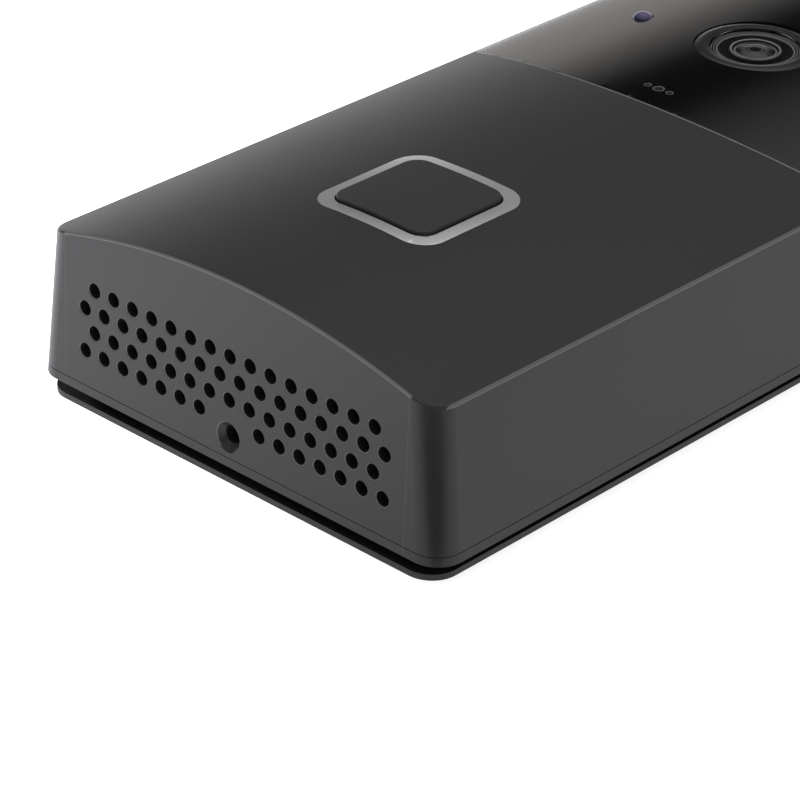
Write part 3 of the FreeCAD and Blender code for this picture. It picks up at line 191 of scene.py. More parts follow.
def drum(name, centre, radius, low, high, sides=64):
    """An upright cylinder between two heights."""
    bpy.ops.object.select_all(action="DESELECT")
    bpy.ops.mesh.primitive_cylinder_add(vertices=sides, radius=radius, depth=high - low,
                                        location=(centre[0], centre[1], (low + high) / 2))
    return settle(name)


def pick(thing, kind, test):
    """Enter edit mode with only the vertices, edges or faces that pass a test selected."""
    only(thing)
    bpy.ops.object.mode_set(mode="EDIT")
    bpy.ops.mesh.select_mode(type={"verts": "VERT", "edges": "EDGE", "faces": "FACE"}[kind])
    bpy.ops.mesh.select_all(action="DESELECT")
    shape = bmesh.from_edit_mesh(thing.data)
    shape.normal_update()
    for element in getattr(shape, kind):
        if test(element):
            element.select_set(True)
    shape.select_flush_mode()
    bmesh.update_edit_mesh(thing.data)


def leave():
    """Back to object mode."""
    bpy.ops.object.mode_set(mode="OBJECT")


def round_edges(thing, test, radius, segments):
    """Bevel the edges that pass a test."""
    pick(thing, "edges", test)
    bpy.ops.mesh.bevel(offset=radius, segments=segments, profile=0.5, clamp_overlap=True)
    leave()


def upright_edge(edge):
    """True for an edge that runs from the back towards the front."""
    run = edge.verts[1].co - edge.verts[0].co
    return abs(run.z) > 0.9 * run.length


def at_height(edge, height):
    """True for an edge that lies level at a height."""
    return all(abs(v.co.z - height) < 0.01 * mm for v in edge.verts)


def with_modifier(thing, kind, **settings):
    """Add one modifier, set it and apply it."""
    only(thing)
    modifier = thing.modifiers.new(kind.lower(), kind)
    for key, setting in settings.items():
        setattr(modifier, key, setting)
    bpy.ops.object.modifier_apply(modifier=modifier.name)


def carve(thing, *tools, operation="DIFFERENCE"):
    """Cut with tools, or keep only what a tool covers, and throw the tools away."""
    for tool in tools:
        with_modifier(thing, "BOOLEAN", object=tool, operation=operation, solver="EXACT")
        bpy.data.objects.remove(tool)
    return thing


def join(name, parts):
    """Make one object of several."""
    only(parts[0])
    for part in parts[1:]:
        part.select_set(True)
    if len(parts) > 1:
        bpy.ops.object.join()
    parts[0].name = name
    parts[0].data.name = name
    return parts[0]


def smooth(thing, angle=30):
    """Smooth shading with crisp edges, weighted so that flat faces stay flat."""
    only(thing)
    bpy.ops.object.shade_smooth_by_angle(angle=math.radians(angle))
    with_modifier(thing, "WEIGHTED_NORMAL", keep_sharp=True, weight=80)


STRIP = 1.1 * mm


OFF_CENTRE = 0.4  # so that no cut runs through the corners of a round hole on the middle line


def strips(thing, above):
    """Cut the nearly level faces above a height into strips along the body, and those into short tiles."""
    margin = 0.7 * mm
    for axis, pitch in ((0, STRIP), (1, 2 * STRIP)):
        places = [v.co[axis] for v in thing.data.vertices]
        first = math.ceil((min(places) + margin) / pitch - OFF_CENTRE)
        last = math.floor((max(places) - margin) / pitch - OFF_CENTRE)
        across = Vector((axis == 0, axis == 1, 0))
        for step in range(first, last + 1):
            pick(thing, "faces", lambda f: abs(f.normal.z) > 0.25 and f.calc_center_median().z > above)
            bpy.ops.mesh.bisect(plane_co=across * ((step + OFF_CENTRE) * pitch), plane_no=across)
            leave()


def crown(thing, above):
    """Lift everything above a height onto the crown; what lies at an end follows the end's lean."""
    lean = math.tan(END_DRAFT)
    for vertex in thing.data.vertices:
        if vertex.co.z < above:
            continue
        lift = rise(vertex.co.x)
        end = BODY_LENGTH / 2 - (EDGE_HEIGHT + 1 * mm) * lean - 1.2 * mm
        if abs(vertex.co.y) > end:
            vertex.co.y -= math.copysign(lift * lean, vertex.co.y)
        vertex.co.z += lift


def hand_over(thing, node):
    """The finished piece takes a CAD node's place and rides on its body."""
    body = nodes[node]["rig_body"]
    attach(thing, body)
    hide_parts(node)
    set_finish(thing, next(s["material_slot"] for s in frame["record"]["subparts"] if s["node"] == node))
    print("%-16s %6d faces on %s" % (thing.name, len(thing.data.polygons), body))


# %% [markdown]
# ## The drafted block
# The housing, its cavity and the rear cover are all slices of one form.  It is a cube whose front face is
# drawn in to give the draft, with its four upright corners rounded.  It is made with a flat front: the
# openings are cut and the rims are rounded while it is flat, and the crown comes last, so every rim keeps
# an even width.

# %% A block with drafted sides


def drafted_block(name, inset, low, high, rim=0.0):
    """The body's outline drawn in by an inset, between two heights."""
    def half_width(z):
        return EDGE_HALF - inset / math.cos(SIDE_DRAFT) + (EDGE_HEIGHT - z) * math.tan(SIDE_DRAFT)

    def half_length(z):
        return BODY_LENGTH / 2 - inset / math.cos(END_DRAFT) - z * math.tan(END_DRAFT)

    form = block(name, (-half_width(low), -half_length(low), low),
                 (half_width(low), half_length(low), high))
    pick(form, "faces", lambda f: f.normal.z > 0.9)
    narrower = half_width(high) / half_width(low)
    shorter = half_length(high) / half_length(low)
    bpy.ops.transform.resize(value=(narrower, shorter, 1), center_override=(0, 0, 0))
    leave()
    round_edges(form, upright_edge, max(CORNER_RADIUS - inset, 0.6 * mm), 12)
    if rim:
        round_edges(form, lambda e: at_height(e, high), rim, 4)
    return form


def rounded_block(name, centre, width, length, radius, low, high, segments=12):
    """A block with rounded upright corners."""
    half = Vector((width / 2, length / 2, 0))
    middle_xy = Vector((centre[0], centre[1], 0))
    form = block(name, middle_xy - half + Vector((0, 0, low)), middle_xy + half + Vector((0, 0, high)))
    round_edges(form, upright_edge, radius, segments)
    return form


# %% [markdown]
# ## Openings in the front
# The gloss panel sits in a shallow recess whose lower edge is a wide smile.  The curve is an arc through
# three points, so the recess and the panel are the same outline, one a tenth of a millimetre larger.
# The outline is a big cylinder laid over a rounded block: where both overlap is the panel.

# %% Outline of the gloss panel
PANEL_THICKNESS = 1.2 * mm
PANEL_RIM = 0.5 * mm
PANEL_GAP = 0.1 * mm
SPLIT_Y = 75.05 * mm - BODY_LENGTH / 2
SPLIT_RISE = 4.71 * mm
SPLIT_RADIUS = (EDGE_HALF ** 2 + SPLIT_RISE ** 2) / (2 * SPLIT_RISE)


def panel_outline(name, grow, low, high):
    """The panel's plan as a solid between two heights."""
    side = EDGE_HALF - PANEL_RIM + grow
    top = BODY_LENGTH / 2 - EDGE_HEIGHT * math.tan(END_DRAFT) - PANEL_RIM + grow
    bottom = SPLIT_Y - 12 * mm
    form = rounded_block(name, (0, (top + bottom) / 2), 2 * side, top - bottom,
                         CORNER_RADIUS - PANEL_RIM + grow, low, high)
    smile = drum(name + "_smile", (0, SPLIT_Y + SPLIT_RADIUS), SPLIT_RADIUS + grow, low - mm, high + mm,
                 720)
    return carve(form, smile, operation="INTERSECT")


# %% Holes through the front
BEZEL_RADIUS = 8.45 * mm
BEZEL_STEM = BEZEL_RADIUS - 0.9 * mm
BEZEL_SEAT = 0.9 * mm
MIC_RADIUS = 0.65 * mm
DOT_RADIUS = 0.4 * mm
DOT_OFFSET = 1.85 * mm
TALL = 60 * mm


def front_tools(mic_radius):
    """Cutters for the lens, the two infra-red lights and the microphone group."""
    deep = EDGE_HEIGHT - WALL - 1 * mm
    tools = [drum("lens_tool", LENS, BEZEL_STEM + 0.1 * mm, deep, TALL, 96),
             drum("mic_tool", MIC, mic_radius, deep, TALL, 32)]
    for sign in (-1, 1):
        tools.append(drum("led_tool", (sign * LED_X, LED_Y), LED_RADIUS + 0.04 * mm, deep, TALL, 48))
        tools.append(drum("dot_tool", (sign * DOT_OFFSET, MIC.y), DOT_RADIUS, deep, TALL, 24))
    return tools


# %% [markdown]
# ## The speaker grille
# Sixty holes in four staggered rows.  Each cutter is a pin with a flare at its outer end, so every hole
# comes out with a tiny chamfer that catches the light, as a moulded hole does.  One pin is modelled, the
# rest are copies, and all are joined into one tool.

# %% Grille pins
HOLE_RADIUS = 1.0 * mm
HOLE_PITCH = 3.4 * mm
ROW_PITCH = 2.94 * mm
FIRST_ROW = 17.46 * mm
ROWS = 4
ROW_HOLES = 15
PIN_REACH = 8 * mm
SCREW_HOLE_Z = 6.6 * mm
SCREW_HOLE_RADIUS = 1.2 * mm
FUNNEL_RADIUS = 2.05 * mm
FUNNEL_DEPTH = 0.9 * mm
FLARE = 0.12 * mm


def end_face(z):
    """Place of the lower end's outer face at a height."""
    return -BODY_LENGTH / 2 + z * math.tan(END_DRAFT)


def lathe(name, rings, sides, spot=(0, 0, 0), way="Z", closed=True):
    """Turn a profile: a circle is extruded and resized ring by ring.  Rings are (radius, height)."""
    bpy.ops.object.select_all(action="DESELECT")
    radius, height = rings[0]
    bpy.ops.mesh.primitive_circle_add(vertices=sides, radius=radius, location=(0, 0, height))
    thing = settle(name)
    pick(thing, "verts", lambda v: True)
    for next_radius, next_height in rings[1:]:
        bpy.ops.mesh.extrude_region_move(TRANSFORM_OT_translate={"value": (0, 0, next_height - height)})
        ratio = next_radius / radius
        bpy.ops.transform.resize(value=(ratio, ratio, 1), center_override=(0, 0, 0))
        radius, height = next_radius, next_height
    if closed:
        leave()
        pick(thing, "edges", lambda e: e.is_boundary)
        if closed == "ring":
            bpy.ops.mesh.bridge_edge_loops()
        else:
            bpy.ops.mesh.edge_face_add()
    leave()
    pick(thing, "faces", lambda f: True)
    bpy.ops.mesh.normals_make_consistent(inside=False)
    leave()
    if way == "Y":
        only(thing)
        thing.rotation_euler = (math.radians(-90), 0, 0)
        bpy.ops.object.transform_apply(location=False, rotation=True, scale=False)
    thing.location = spot
    only(thing)
    bpy.ops.object.transform_apply(location=True, rotation=False, scale=False)
    return thing


def copy_at(thing, name, shift):
    """A copy with a mesh of its own, moved along."""
    twin = thing.copy()
    twin.data = thing.data.copy()
    twin.name = name
    bpy.context.scene.collection.objects.link(twin)
    only(twin)
    twin.location = shift
    bpy.ops.object.transform_apply(location=True, rotation=False, scale=False)
    return twin


def grille_pins():
    """One flared pin for every hole of the grille."""
    outside = 0.6 * mm
    rings = [(HOLE_RADIUS + FLARE + outside, -outside), (HOLE_RADIUS, FLARE), (HOLE_RADIUS, PIN_REACH)]
    pin = lathe("pin", rings, 32, way="Y")
    pins = []
    for row in range(ROWS):
        z = FIRST_ROW - row * ROW_PITCH
        count = ROW_HOLES + row % 2
        for index in range(count):
            x = (index - (count - 1) / 2) * HOLE_PITCH
            if row == ROWS - 1 and abs(x) < HOLE_PITCH:
                continue
            pins.append(copy_at(pin, "pin_%02d" % len(pins), (x, end_face(z), z)))
    bpy.data.objects.remove(pin)
    print("grille holes:", len(pins))
    return join("grille_tool", pins)


def screw_funnel():
    """The empty conical hole for the security screw."""
    wide = FUNNEL_RADIUS + 0.25 * mm
    slope = (wide - SCREW_HOLE_RADIUS) / (FUNNEL_DEPTH + 0.25 * mm)
    rings = [(wide + slope * 0.5 * mm, -0.75 * mm), (SCREW_HOLE_RADIUS, FUNNEL_DEPTH),
             (SCREW_HOLE_RADIUS, PIN_REACH)]
    return lathe("funnel_tool", rings, 48, spot=(0, end_face(SCREW_HOLE_Z), SCREW_HOLE_Z), way="Y")


# %% [markdown]
# ## The call button's ring and opening
# The ring is a rounded square let into the front until it is flush.  It is modelled flat, its edges get a
# small bevel, and then strips let it follow the crown exactly as the housing does.

# %% Button sizes
RING_SIZE = 20.0 * mm
RING_WIDTH = 1.85 * mm
RING_CORNER = 3.7 * mm
RING_THICKNESS = 1.2 * mm
RING_INNER = RING_SIZE - 2 * RING_WIDTH
RING_INNER_TURN = RING_CORNER - RING_WIDTH * 0.6
BUTTON_GAP = 0.2 * mm
CAP_SIZE = RING_INNER - 2 * BUTTON_GAP
CAP_TURN = RING_INNER_TURN - BUTTON_GAP
BUTTON_PROUD = 0.5 * mm
BUTTON_ROUND = 0.2 * mm


# %% [markdown]
# ## The front housing
# Everything is cut while the front is flat.  The cavity is the same drafted block, drawn in by the wall.

# %% Front housing
housing = drafted_block("housing_body", 0, SEAM, EDGE_HEIGHT, rim=RIM_RADIUS)
round_edges(housing, lambda e: at_height(e, SEAM), 0.1 * mm, 1)
cavity = drafted_block("cavity", WALL, SEAM - 1 * mm, EDGE_HEIGHT - WALL)
carve(housing, cavity)
carve(housing, panel_outline("recess", PANEL_GAP, EDGE_HEIGHT - PANEL_THICKNESS, EDGE_HEIGHT + 5 * mm))
carve(housing, rounded_block("ring_seat", BUTTON, RING_SIZE + 0.08 * mm, RING_SIZE + 0.08 * mm, RING_CORNER,
                             EDGE_HEIGHT - RING_THICKNESS, TALL))
carve(housing, rounded_block("button_hole", BUTTON, RING_INNER, RING_INNER, RING_INNER_TURN,
                             EDGE_HEIGHT - WALL - mm, TALL))
carve(housing, *front_tools(0.85 * mm))
carve(housing, grille_pins(), screw_funnel())
strips(housing, EDGE_HEIGHT - WALL - 0.5 * mm)
crown(housing, EDGE_HEIGHT - WALL - 0.2 * mm)
smooth(housing)
hand_over(housing, "front_housing")

# %% [markdown]
# ## The gloss camera panel
# The panel's outline is cut from the same arc.  Its upper edge is bevelled by a fifth of a millimetre:
# that bevel, with a lighter line painted over it in the panel's finish as a painted highlight, is the thin
# light line that shows where gloss meets satin.

# %% Camera panel
PANEL_BEVEL = 0.18 * mm
MIC_BEVEL = 0.10 * mm


def near(edge, x, y, reach):
    """True for an edge close to a point or to its mirror image."""
    spot = edge.verts[0].co
    return math.hypot(abs(spot.x) - x, spot.y - y) < reach


panel = panel_outline("gloss_panel", 0, EDGE_HEIGHT - PANEL_THICKNESS, EDGE_HEIGHT)
seat = drum("bezel_seat", LENS, BEZEL_RADIUS + 0.06 * mm, EDGE_HEIGHT - BEZEL_SEAT - 0.05 * mm, TALL, 128)
carve(panel, seat, *front_tools(MIC_RADIUS))
AROUND = 3 * mm
round_edges(panel, lambda e: at_height(e, EDGE_HEIGHT) and not near(e, LED_X, LED_Y, AROUND)
            and not near(e, 0, MIC.y, AROUND) and not near(e, 0, LENS.y, BEZEL_RADIUS + mm), PANEL_BEVEL, 2)
round_edges(panel, lambda e: at_height(e, EDGE_HEIGHT) and near(e, 0, MIC.y, AROUND), MIC_BEVEL, 1)
strips(panel, EDGE_HEIGHT - PANEL_THICKNESS - mm)
crown(panel, EDGE_HEIGHT - PANEL_THICKNESS - mm)
smooth(panel)
hand_over(panel, "camera_panel")

# %% Silver ring
RING_TOP = EDGE_HEIGHT + 0.05 * mm
RING_BEVEL = 0.08 * mm
ring = rounded_block("silver_ring", BUTTON, RING_SIZE, RING_SIZE, RING_CORNER, EDGE_HEIGHT - RING_THICKNESS,
                     RING_TOP, 16)
carve(ring, rounded_block("ring_hole", BUTTON, RING_INNER, RING_INNER, RING_INNER_TURN, 0, TALL, 16))
round_edges(ring, lambda e: at_height(e, RING_TOP), RING_BEVEL, 2)
strips(ring, EDGE_HEIGHT - RING_THICKNESS - mm)
crown(ring, EDGE_HEIGHT - RING_THICKNESS - mm)
smooth(ring)
hand_over(ring, "button_ring")

# %% [markdown]
# ## The call button
# The cap stands half a millimetre proud of the ring, has a small rounded edge and follows the same crown.

# %% Call button
CAP_LOW = EDGE_HEIGHT - WALL - 0.9 * mm
CAP_TOP = EDGE_HEIGHT + BUTTON_PROUD
cap = rounded_block("call_button_cap", BUTTON, CAP_SIZE, CAP_SIZE, CAP_TURN, CAP_LOW, CAP_TOP, 16)
round_edges(cap, lambda e: at_height(e, CAP_TOP), BUTTON_ROUND, 5)
strips(cap, CAP_LOW - mm)
crown(cap, CAP_LOW - mm)
smooth(cap)
hand_over(cap, "button_cap")

# %% [markdown]
# ## The camera
# A turned bezel lies almost level with the front and dips towards a flat cover glass.  Close under the
# glass is the black barrel with its fine stepped rings, and in its middle the domed front lens.  Each is
# one profile, extruded ring by ring from a circle.

# %% Lens bezel
BEZEL_BORE = 6.3 * mm
BEZEL_TOP = CREST - 0.17 * mm
BEZEL_LOW = CREST - 3.0 * mm
BEZEL_LEDGE = CREST - BEZEL_SEAT
bezel_rings = [(BEZEL_STEM, BEZEL_LOW), (BEZEL_STEM, BEZEL_LEDGE), (BEZEL_RADIUS, BEZEL_LEDGE)]
for step in range(9):
    across_band = (BEZEL_RADIUS - BEZEL_BORE - 0.06 * mm) * step / 8
    crest = 0.55 * (BEZEL_RADIUS - BEZEL_BORE)
    fall = 0.30 * mm if across_band < crest else 0.12 * mm
    bezel_rings.append((BEZEL_RADIUS - across_band, BEZEL_TOP - fall * (1 - across_band / crest) ** 2))
bezel_rings += [(BEZEL_BORE + 0.02 * mm, BEZEL_TOP - 0.16 * mm), (BEZEL_BORE + 0.02 * mm, BEZEL_LOW)]
bezel = lathe("bezel", bezel_rings, 160, spot=(LENS.x, LENS.y, 0), closed="ring")
smooth(bezel, 40)
hand_over(bezel, "lens_bezel")

# %% Cover glass
GLASS_TOP = BEZEL_TOP - 0.12 * mm
GLASS_LOW = GLASS_TOP - 0.4 * mm
glass = drum("cover_glass", LENS, BEZEL_BORE - 0.01 * mm, GLASS_LOW, GLASS_TOP, 128)
round_edges(glass, lambda e: at_height(e, GLASS_TOP), 0.06 * mm, 2)
smooth(glass)
hand_over(glass, "lens_glass")

# %% [markdown]
# The barrel's face carries three raised lines, each a ridge a tenth of a millimetre high, and a collar
# that holds the front lens.  `ridge` gives the four corners of such a line in the profile.

# %% Barrel and front lens
BARREL_TOP = GLASS_LOW - 0.1 * mm
BARREL_FACE = BARREL_TOP - 0.22 * mm
LENS_RADIUS = 3.2 * mm
LINES = (6.05 * mm, 5.7 * mm, 5.3 * mm)


def ridge(radius, base, width, height):
    """A raised line on a turned face, from outside to inside."""
    return [(radius + width / 2, base), (radius + width / 4, base + height),
            (radius - width / 4, base + height), (radius - width / 2, base)]


barrel_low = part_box("lens_barrel")[0].z
BARREL_FLANGE = BARREL_FACE - 0.6 * mm
barrel_rings = [(5.6 * mm, barrel_low), (5.6 * mm, BARREL_FLANGE), (6.2 * mm, BARREL_FLANGE),
                (6.2 * mm, BARREL_FACE)]
for line in LINES:
    barrel_rings += ridge(line, BARREL_FACE, 0.16 * mm, 0.15 * mm)
barrel_rings += [(4.9 * mm, BARREL_FACE - 0.12 * mm), (LENS_RADIUS + 0.45 * mm, BARREL_FACE - 0.15 * mm),
                 (LENS_RADIUS + 0.3 * mm, BARREL_TOP - 0.02 * mm),
                 (LENS_RADIUS + 0.1 * mm, BARREL_TOP - 0.02 * mm),
                 (LENS_RADIUS, BARREL_TOP - 0.1 * mm), (LENS_RADIUS, BARREL_TOP - 2.4 * mm)]
barrel = lathe("barrel", barrel_rings, 160, spot=(LENS.x, LENS.y, 0), closed="ring")
smooth(barrel, 40)
hand_over(barrel, "lens_barrel")

dome_rings = [(LENS_RADIUS - 0.06 * mm, BARREL_TOP - 2.3 * mm)]
for step in range(13):
    r = (LENS_RADIUS - 0.06 * mm) * math.cos(math.radians(90 * step / 13))
    dome_rings.append((r, BARREL_TOP - 0.32 * mm * (r / LENS_RADIUS) ** 2 - 0.02 * mm))
dome = lathe("front_lens_dome", dome_rings, 96, spot=(LENS.x, LENS.y, 0))
smooth(dome, 40)
hand_over(dome, "front_lens")

# %% [markdown]
# ## The infra-red emitters
# Two violet domes stand three quarters of a millimetre out of the gloss panel.

# %% Infra-red emitters
LED_TOP = EDGE_HEIGHT + rise(LED_X) + 0.75 * mm
LED_DOME = 1.1 * mm
emitters = []
for sign in (-1, 1):
    rings = [(LED_RADIUS, LED_LOW.z)]
    for step in range(10):
        angle = math.radians(90 * step / 10)
        rings.append((LED_RADIUS * math.cos(angle), LED_TOP - LED_DOME + LED_DOME * math.sin(angle)))
    emitters.append(lathe("emitter", rings, 48, spot=(sign * LED_X, LED_Y, 0)))
leds = join("emitter_domes", emitters)
smooth(leds, 50)
hand_over(leds, "infrared_leds")

# %% [markdown]
# ## Thin light lines on the rear edges
# The wall plate, the rear cover and the battery door keep their CAD solids.  A narrow bevel modifier
# softens their outer edges, as on any moulded part.

# %% Soft edges on CAD pieces
for name in ("wall_bracket", "rear_cover", "battery_door"):
    softened = nodes[name].modifiers.new("soft_edges", "BEVEL")
    softened.width = 0.12 * mm
    softened.segments = 2
    softened.limit_method = "ANGLE"
    softened.angle_limit = math.radians(50)
    softened.harden_normals = False

# %% [markdown]
# ## Materials
# A finish is a small node tree.  `Wire` wraps one socket of it, so that `wave * 0.1 + 0.3` adds the two
# Math nodes that the sum needs, and `make` adds any other node.  Everything reads Object coordinates, in
# metres, which are the frame's own because every piece sits at the origin.

# %% Shader helper


class Wire:
    """One output of a node.  Sums with it add Math nodes; `make` adds any node at all."""

    def __init__(self, tree, socket=None):
        self.tree = tree
        self.socket = socket

    def make(self, kind, settings=None, values=None, out=0):
        """Add a node, set its properties, fill or link its inputs and return one of its outputs."""
        node = self.tree.nodes.new(kind)
        for key, setting in (settings or {}).items():
            setattr(node, key, setting)
        for key, given in (values or {}).items():
            if isinstance(given, Wire):
                self.tree.links.new(given.socket, node.inputs[key])
            else:
                node.inputs[key].default_value = given
        return Wire(self.tree, node.outputs[out])

    def sum(self, operation, *others):
        """A Math node on this wire and others."""
        return self.make("ShaderNodeMath", {"operation": operation}, dict(enumerate((self,) + others)))

    def __add__(self, other):
        return self.sum("ADD", other)

    def __mul__(self, other):
        return self.sum("MULTIPLY", other)

    def __sub__(self, other):
        return self.sum("SUBTRACT", other)

    def __rsub__(self, other):
        return self * -1.0 + other

    def __truediv__(self, other):
        return self.sum("DIVIDE", other)

    def __pow__(self, other):
        return self.sum("POWER", other)

    def __abs__(self):
        return self.sum("ABSOLUTE")

    __radd__ = __add__
    __rmul__ = __mul__

    def limited(self):
        """Held between nought and one."""
        return self.sum("MAXIMUM", 0.0).sum("MINIMUM", 1.0)


def rgb(colour):
    """A grey number or a triple as a colour with alpha."""
    triple = (colour,) * 3 if isinstance(colour, float) else tuple(colour)
    return triple + (1.0,)


def place(wire):
    """Object coordinates."""
    return wire.make("ShaderNodeTexCoord", out="Object")


def parts(point):
    """The three numbers of a point."""
    x = point.make("ShaderNodeSeparateXYZ", {}, {0: point})
    return x, Wire(x.tree, x.socket.node.outputs[1]), Wire(x.tree, x.socket.node.outputs[2])


def noise(wire, scale, detail=2.0, stretch=(1, 1, 1)):
    """Even noise between nought and one; `scale` counts waves in a metre."""
    spot = wire.make("ShaderNodeMapping", {}, {"Vector": place(wire), "Scale": stretch})
    return wire.make("ShaderNodeTexNoise", {}, {"Vector": spot, "Scale": scale, "Detail": detail})


def blend(wire, factor, first, second):
    """Mix two colours; each is a wire, a grey or a triple."""
    values = {0: factor}
    for index, colour in ((6, first), (7, second)):
        values[index] = colour if isinstance(colour, Wire) else rgb(colour)
    return wire.make("ShaderNodeMix", {"data_type": "RGBA"}, values, out=2)


def surface(material, wire, **sockets):
    """The material's one Principled shader: wires are linked, plain numbers are set on the socket."""
    shader = next(n for n in material.node_tree.nodes if n.type == "BSDF_PRINCIPLED")
    for key, given in sockets.items():
        socket = shader.inputs[key.replace("_", " ")]
        if isinstance(given, Wire):
            wire.tree.links.new(given.socket, socket)
        else:
            socket.default_value = rgb(given) if socket.type == "RGBA" else given


def bump(wire, height, distance):
    """A Bump node's normal."""
    return wire.make("ShaderNodeBump", {}, {"Height": height, "Distance": distance, "Strength": 1.0})


def start(name):
    """An empty node material and the wire that builds in it."""
    material = bpy.data.materials.new(name)
    material.use_nodes = True
    return material, Wire(material.node_tree)


# %% [markdown]
# Lighter lines are painted into the housing's colour as painted highlights: on the tiny flares of the grille
# holes, along the rim that runs round the front, and faintly where the end face meets its rounded corners.
# All are found from the housing's own sizes.

# %% Painted highlights on the rims


def within(value, low, high, soft):
    """One between two limits, falling to nought over a soft width outside them."""
    return ((value - low) / soft + 1.0).limited() * ((high - value) / soft + 1.0).limited()


def painted_rim_highlights(wire):
    """Painted highlights: one on the hole flares and the front rim, faint on the end face's side edges,
    nought elsewhere.
    """
    x, y, z = parts(place(wire))
    x = abs(x)
    depth = y - z * math.tan(END_DRAFT) + BODY_LENGTH / 2
    # painted highlights on the flares of the grille holes, then on the front rim
    holes = within(depth, 0.03 * mm, 0.13 * mm, 0.02 * mm) * within(x, 0.0, 28 * mm, mm)
    holes = holes * within(z, 5 * mm, 19.6 * mm, 0.1 * mm)
    corner = EDGE_HALF - CORNER_RADIUS
    top = (CROWN_RADIUS ** 2 - x * x) ** 0.5 + (CREST - CROWN_RADIUS)
    outer = within(depth, -mm, 0.22 * mm, 0.06 * mm) * within(x, 0.0, corner, 0.3 * mm)
    flank = within(x, EDGE_HALF - 0.24 * mm, TALL, 0.06 * mm)
    rim = (outer + flank).limited() * within(z - top, -0.30 * mm, mm, 0.05 * mm)
    # a faint painted highlight line where the end face meets its rounded corner
    corner_highlight = within(x, corner - 0.06 * mm, corner + 0.06 * mm, 0.05 * mm)
    corner_highlight = corner_highlight * within(depth, -mm, 0.3 * mm, 0.1 * mm)
    return (holes + rim * 0.9 + corner_highlight * 0.15).limited()


# %% [markdown]
# Most pieces are moulded plastic, sheet metal or rubber.  `plain` covers them all: the colour wanders by
# up to an eighth over centimetres, the gloss by a few hundredths over millimetres, and a fine grain lifts
# the surface by some micrometres.

# %% One recipe for moulded and stamped pieces


def plain(name, colour, roughness, metallic=0.0, grain=0.004, wander=0.12, stretch=(1, 1, 1), rims=False):
    """A plain finish with wandering tone and gloss and a fine grain, in millimetres."""
    material, wire = start(name)
    drift = noise(wire, 60.0)
    fine = noise(wire, 2600.0, 1.0, stretch)
    triple = rgb(colour)[:3]
    darker = tuple(c * (1 - wander) for c in triple)
    lighter = tuple(c * (1 + wander) for c in triple)
    tone = blend(wire, drift, darker, lighter)
    # with rims, the hole flares and front rim get painted highlights in the base colour
    if rims:
        tone = blend(wire, painted_rim_highlights(wire), tone, 0.13)
    surface(material, wire, Base_Color=tone, Roughness=roughness + (fine - 0.5) * 0.08 + (drift - 0.5) * 0.05,
            Normal=bump(wire, fine, grain * mm), Metallic=metallic, IOR=1.5 if metallic else 1.42)
    return material


FINISHES = {
    "housing_black": plain("housing_black", 0.015, 0.40, grain=0.0015, rims=True),
    "button_black": plain("button_black", 0.019, 0.42, grain=0.0015),
    "bracket_black": plain("bracket_black", 0.018, 0.50, grain=0.004),
    "bezel_gloss": plain("bezel_gloss", 0.010, 0.24, grain=0.0),
    "frame_black": plain("frame_black", 0.025, 0.55),
    "chip_black": plain("chip_black", 0.018, 0.45),
    "cradle_grey": plain("cradle_grey", 0.10, 0.55),
    "seal_rubber": plain("seal_rubber", 0.016, 0.75, grain=0.01),
    "foam_grey": plain("foam_grey", 0.09, 0.9, grain=0.05),
    "mesh_black": plain("mesh_black", 0.012, 0.6, grain=0.05),
    "wire_jacket": plain("wire_jacket", (0.35, 0.02, 0.02), 0.5),
    "flex_amber": plain("flex_amber", (0.45, 0.20, 0.03), 0.35),
    "cone_film": plain("cone_film", 0.03, 0.4),
    "led_white": plain("led_white", (0.75, 0.74, 0.62), 0.35),
    "brass": plain("brass", (0.78, 0.55, 0.22), 0.3, metallic=1.0),
    "screw_steel": plain("screw_steel", 0.42, 0.35, metallic=1.0),
    "magnet_steel": plain("magnet_steel", 0.45, 0.3, metallic=1.0),
    "shield_tin": plain("shield_tin", 0.62, 0.3, metallic=1.0, stretch=(1, 12, 1)),
    "contact_steel": plain("contact_steel", 0.62, 0.25, metallic=1.0),
}

# %% [markdown]
# Turned parts and round holes are finished by distance from their axis.  `line_at` is one on a ring of a
# given radius and falls to nought at its edge.

# %% Rings as shader values


def radius_from(wire, centre):
    """Distance from an upright axis, in millimetres."""
    x, y, _ = parts(place(wire))
    x = x - centre.x
    y = y - centre.y
    return (x * x + y * y) ** 0.5 * (1 / mm)


def line_at(radius, spot, width):
    """A soft ring round a radius, both in millimetres."""
    return (1.0 - abs(radius - spot) / width).limited()


# %% [markdown]
# Some pieces need a finish of their own.  The gloss panel is black plastic under a clear coat, dusted so
# slightly that only its gloss changes, with lighter lines painted along its lower edge and round the
# microphone and dots as painted highlights.  The silver ring is brushed, and its colour is painted lighter at
# two opposite corners and towards its upper end, a painted sheen.
# The boards are green lacquer over copper, the cells have a printed wrap with a band at one end, and the
# camera's glass is clear, with a coating that lets it mirror very little.

# %% Gloss panel, boards, cells and glass


def gloss_panel():
    material, wire = start("panel_gloss")
    drift = noise(wire, 45.0)
    dust = noise(wire, 900.0, 3.0) ** 4.0
    # painted highlights: lighter lines along the lower edge's bevel and round the microphone and dot bevels
    split_highlight = line_at(radius_from(wire, Vector((0, SPLIT_Y + SPLIT_RADIUS, 0))), SPLIT_RADIUS / mm, 0.3)
    rims = line_at(radius_from(wire, MIC), (MIC_RADIUS + MIC_BEVEL / 2) / mm, 0.2)
    for sign in (-1, 1):
        dot = Vector((sign * DOT_OFFSET, MIC.y, 0))
        rims = rims + line_at(radius_from(wire, dot), (DOT_RADIUS + MIC_BEVEL / 2) / mm, 0.14)
    painted_highlight = (split_highlight * 0.30 + rims * 0.16).limited()
    surface(material, wire, Base_Color=blend(wire, painted_highlight, blend(wire, drift, 0.001, 0.002), 0.9),
            Roughness=0.11 + dust * 0.05 + (split_highlight + rims).limited() * 0.3, IOR=1.5)
    return material


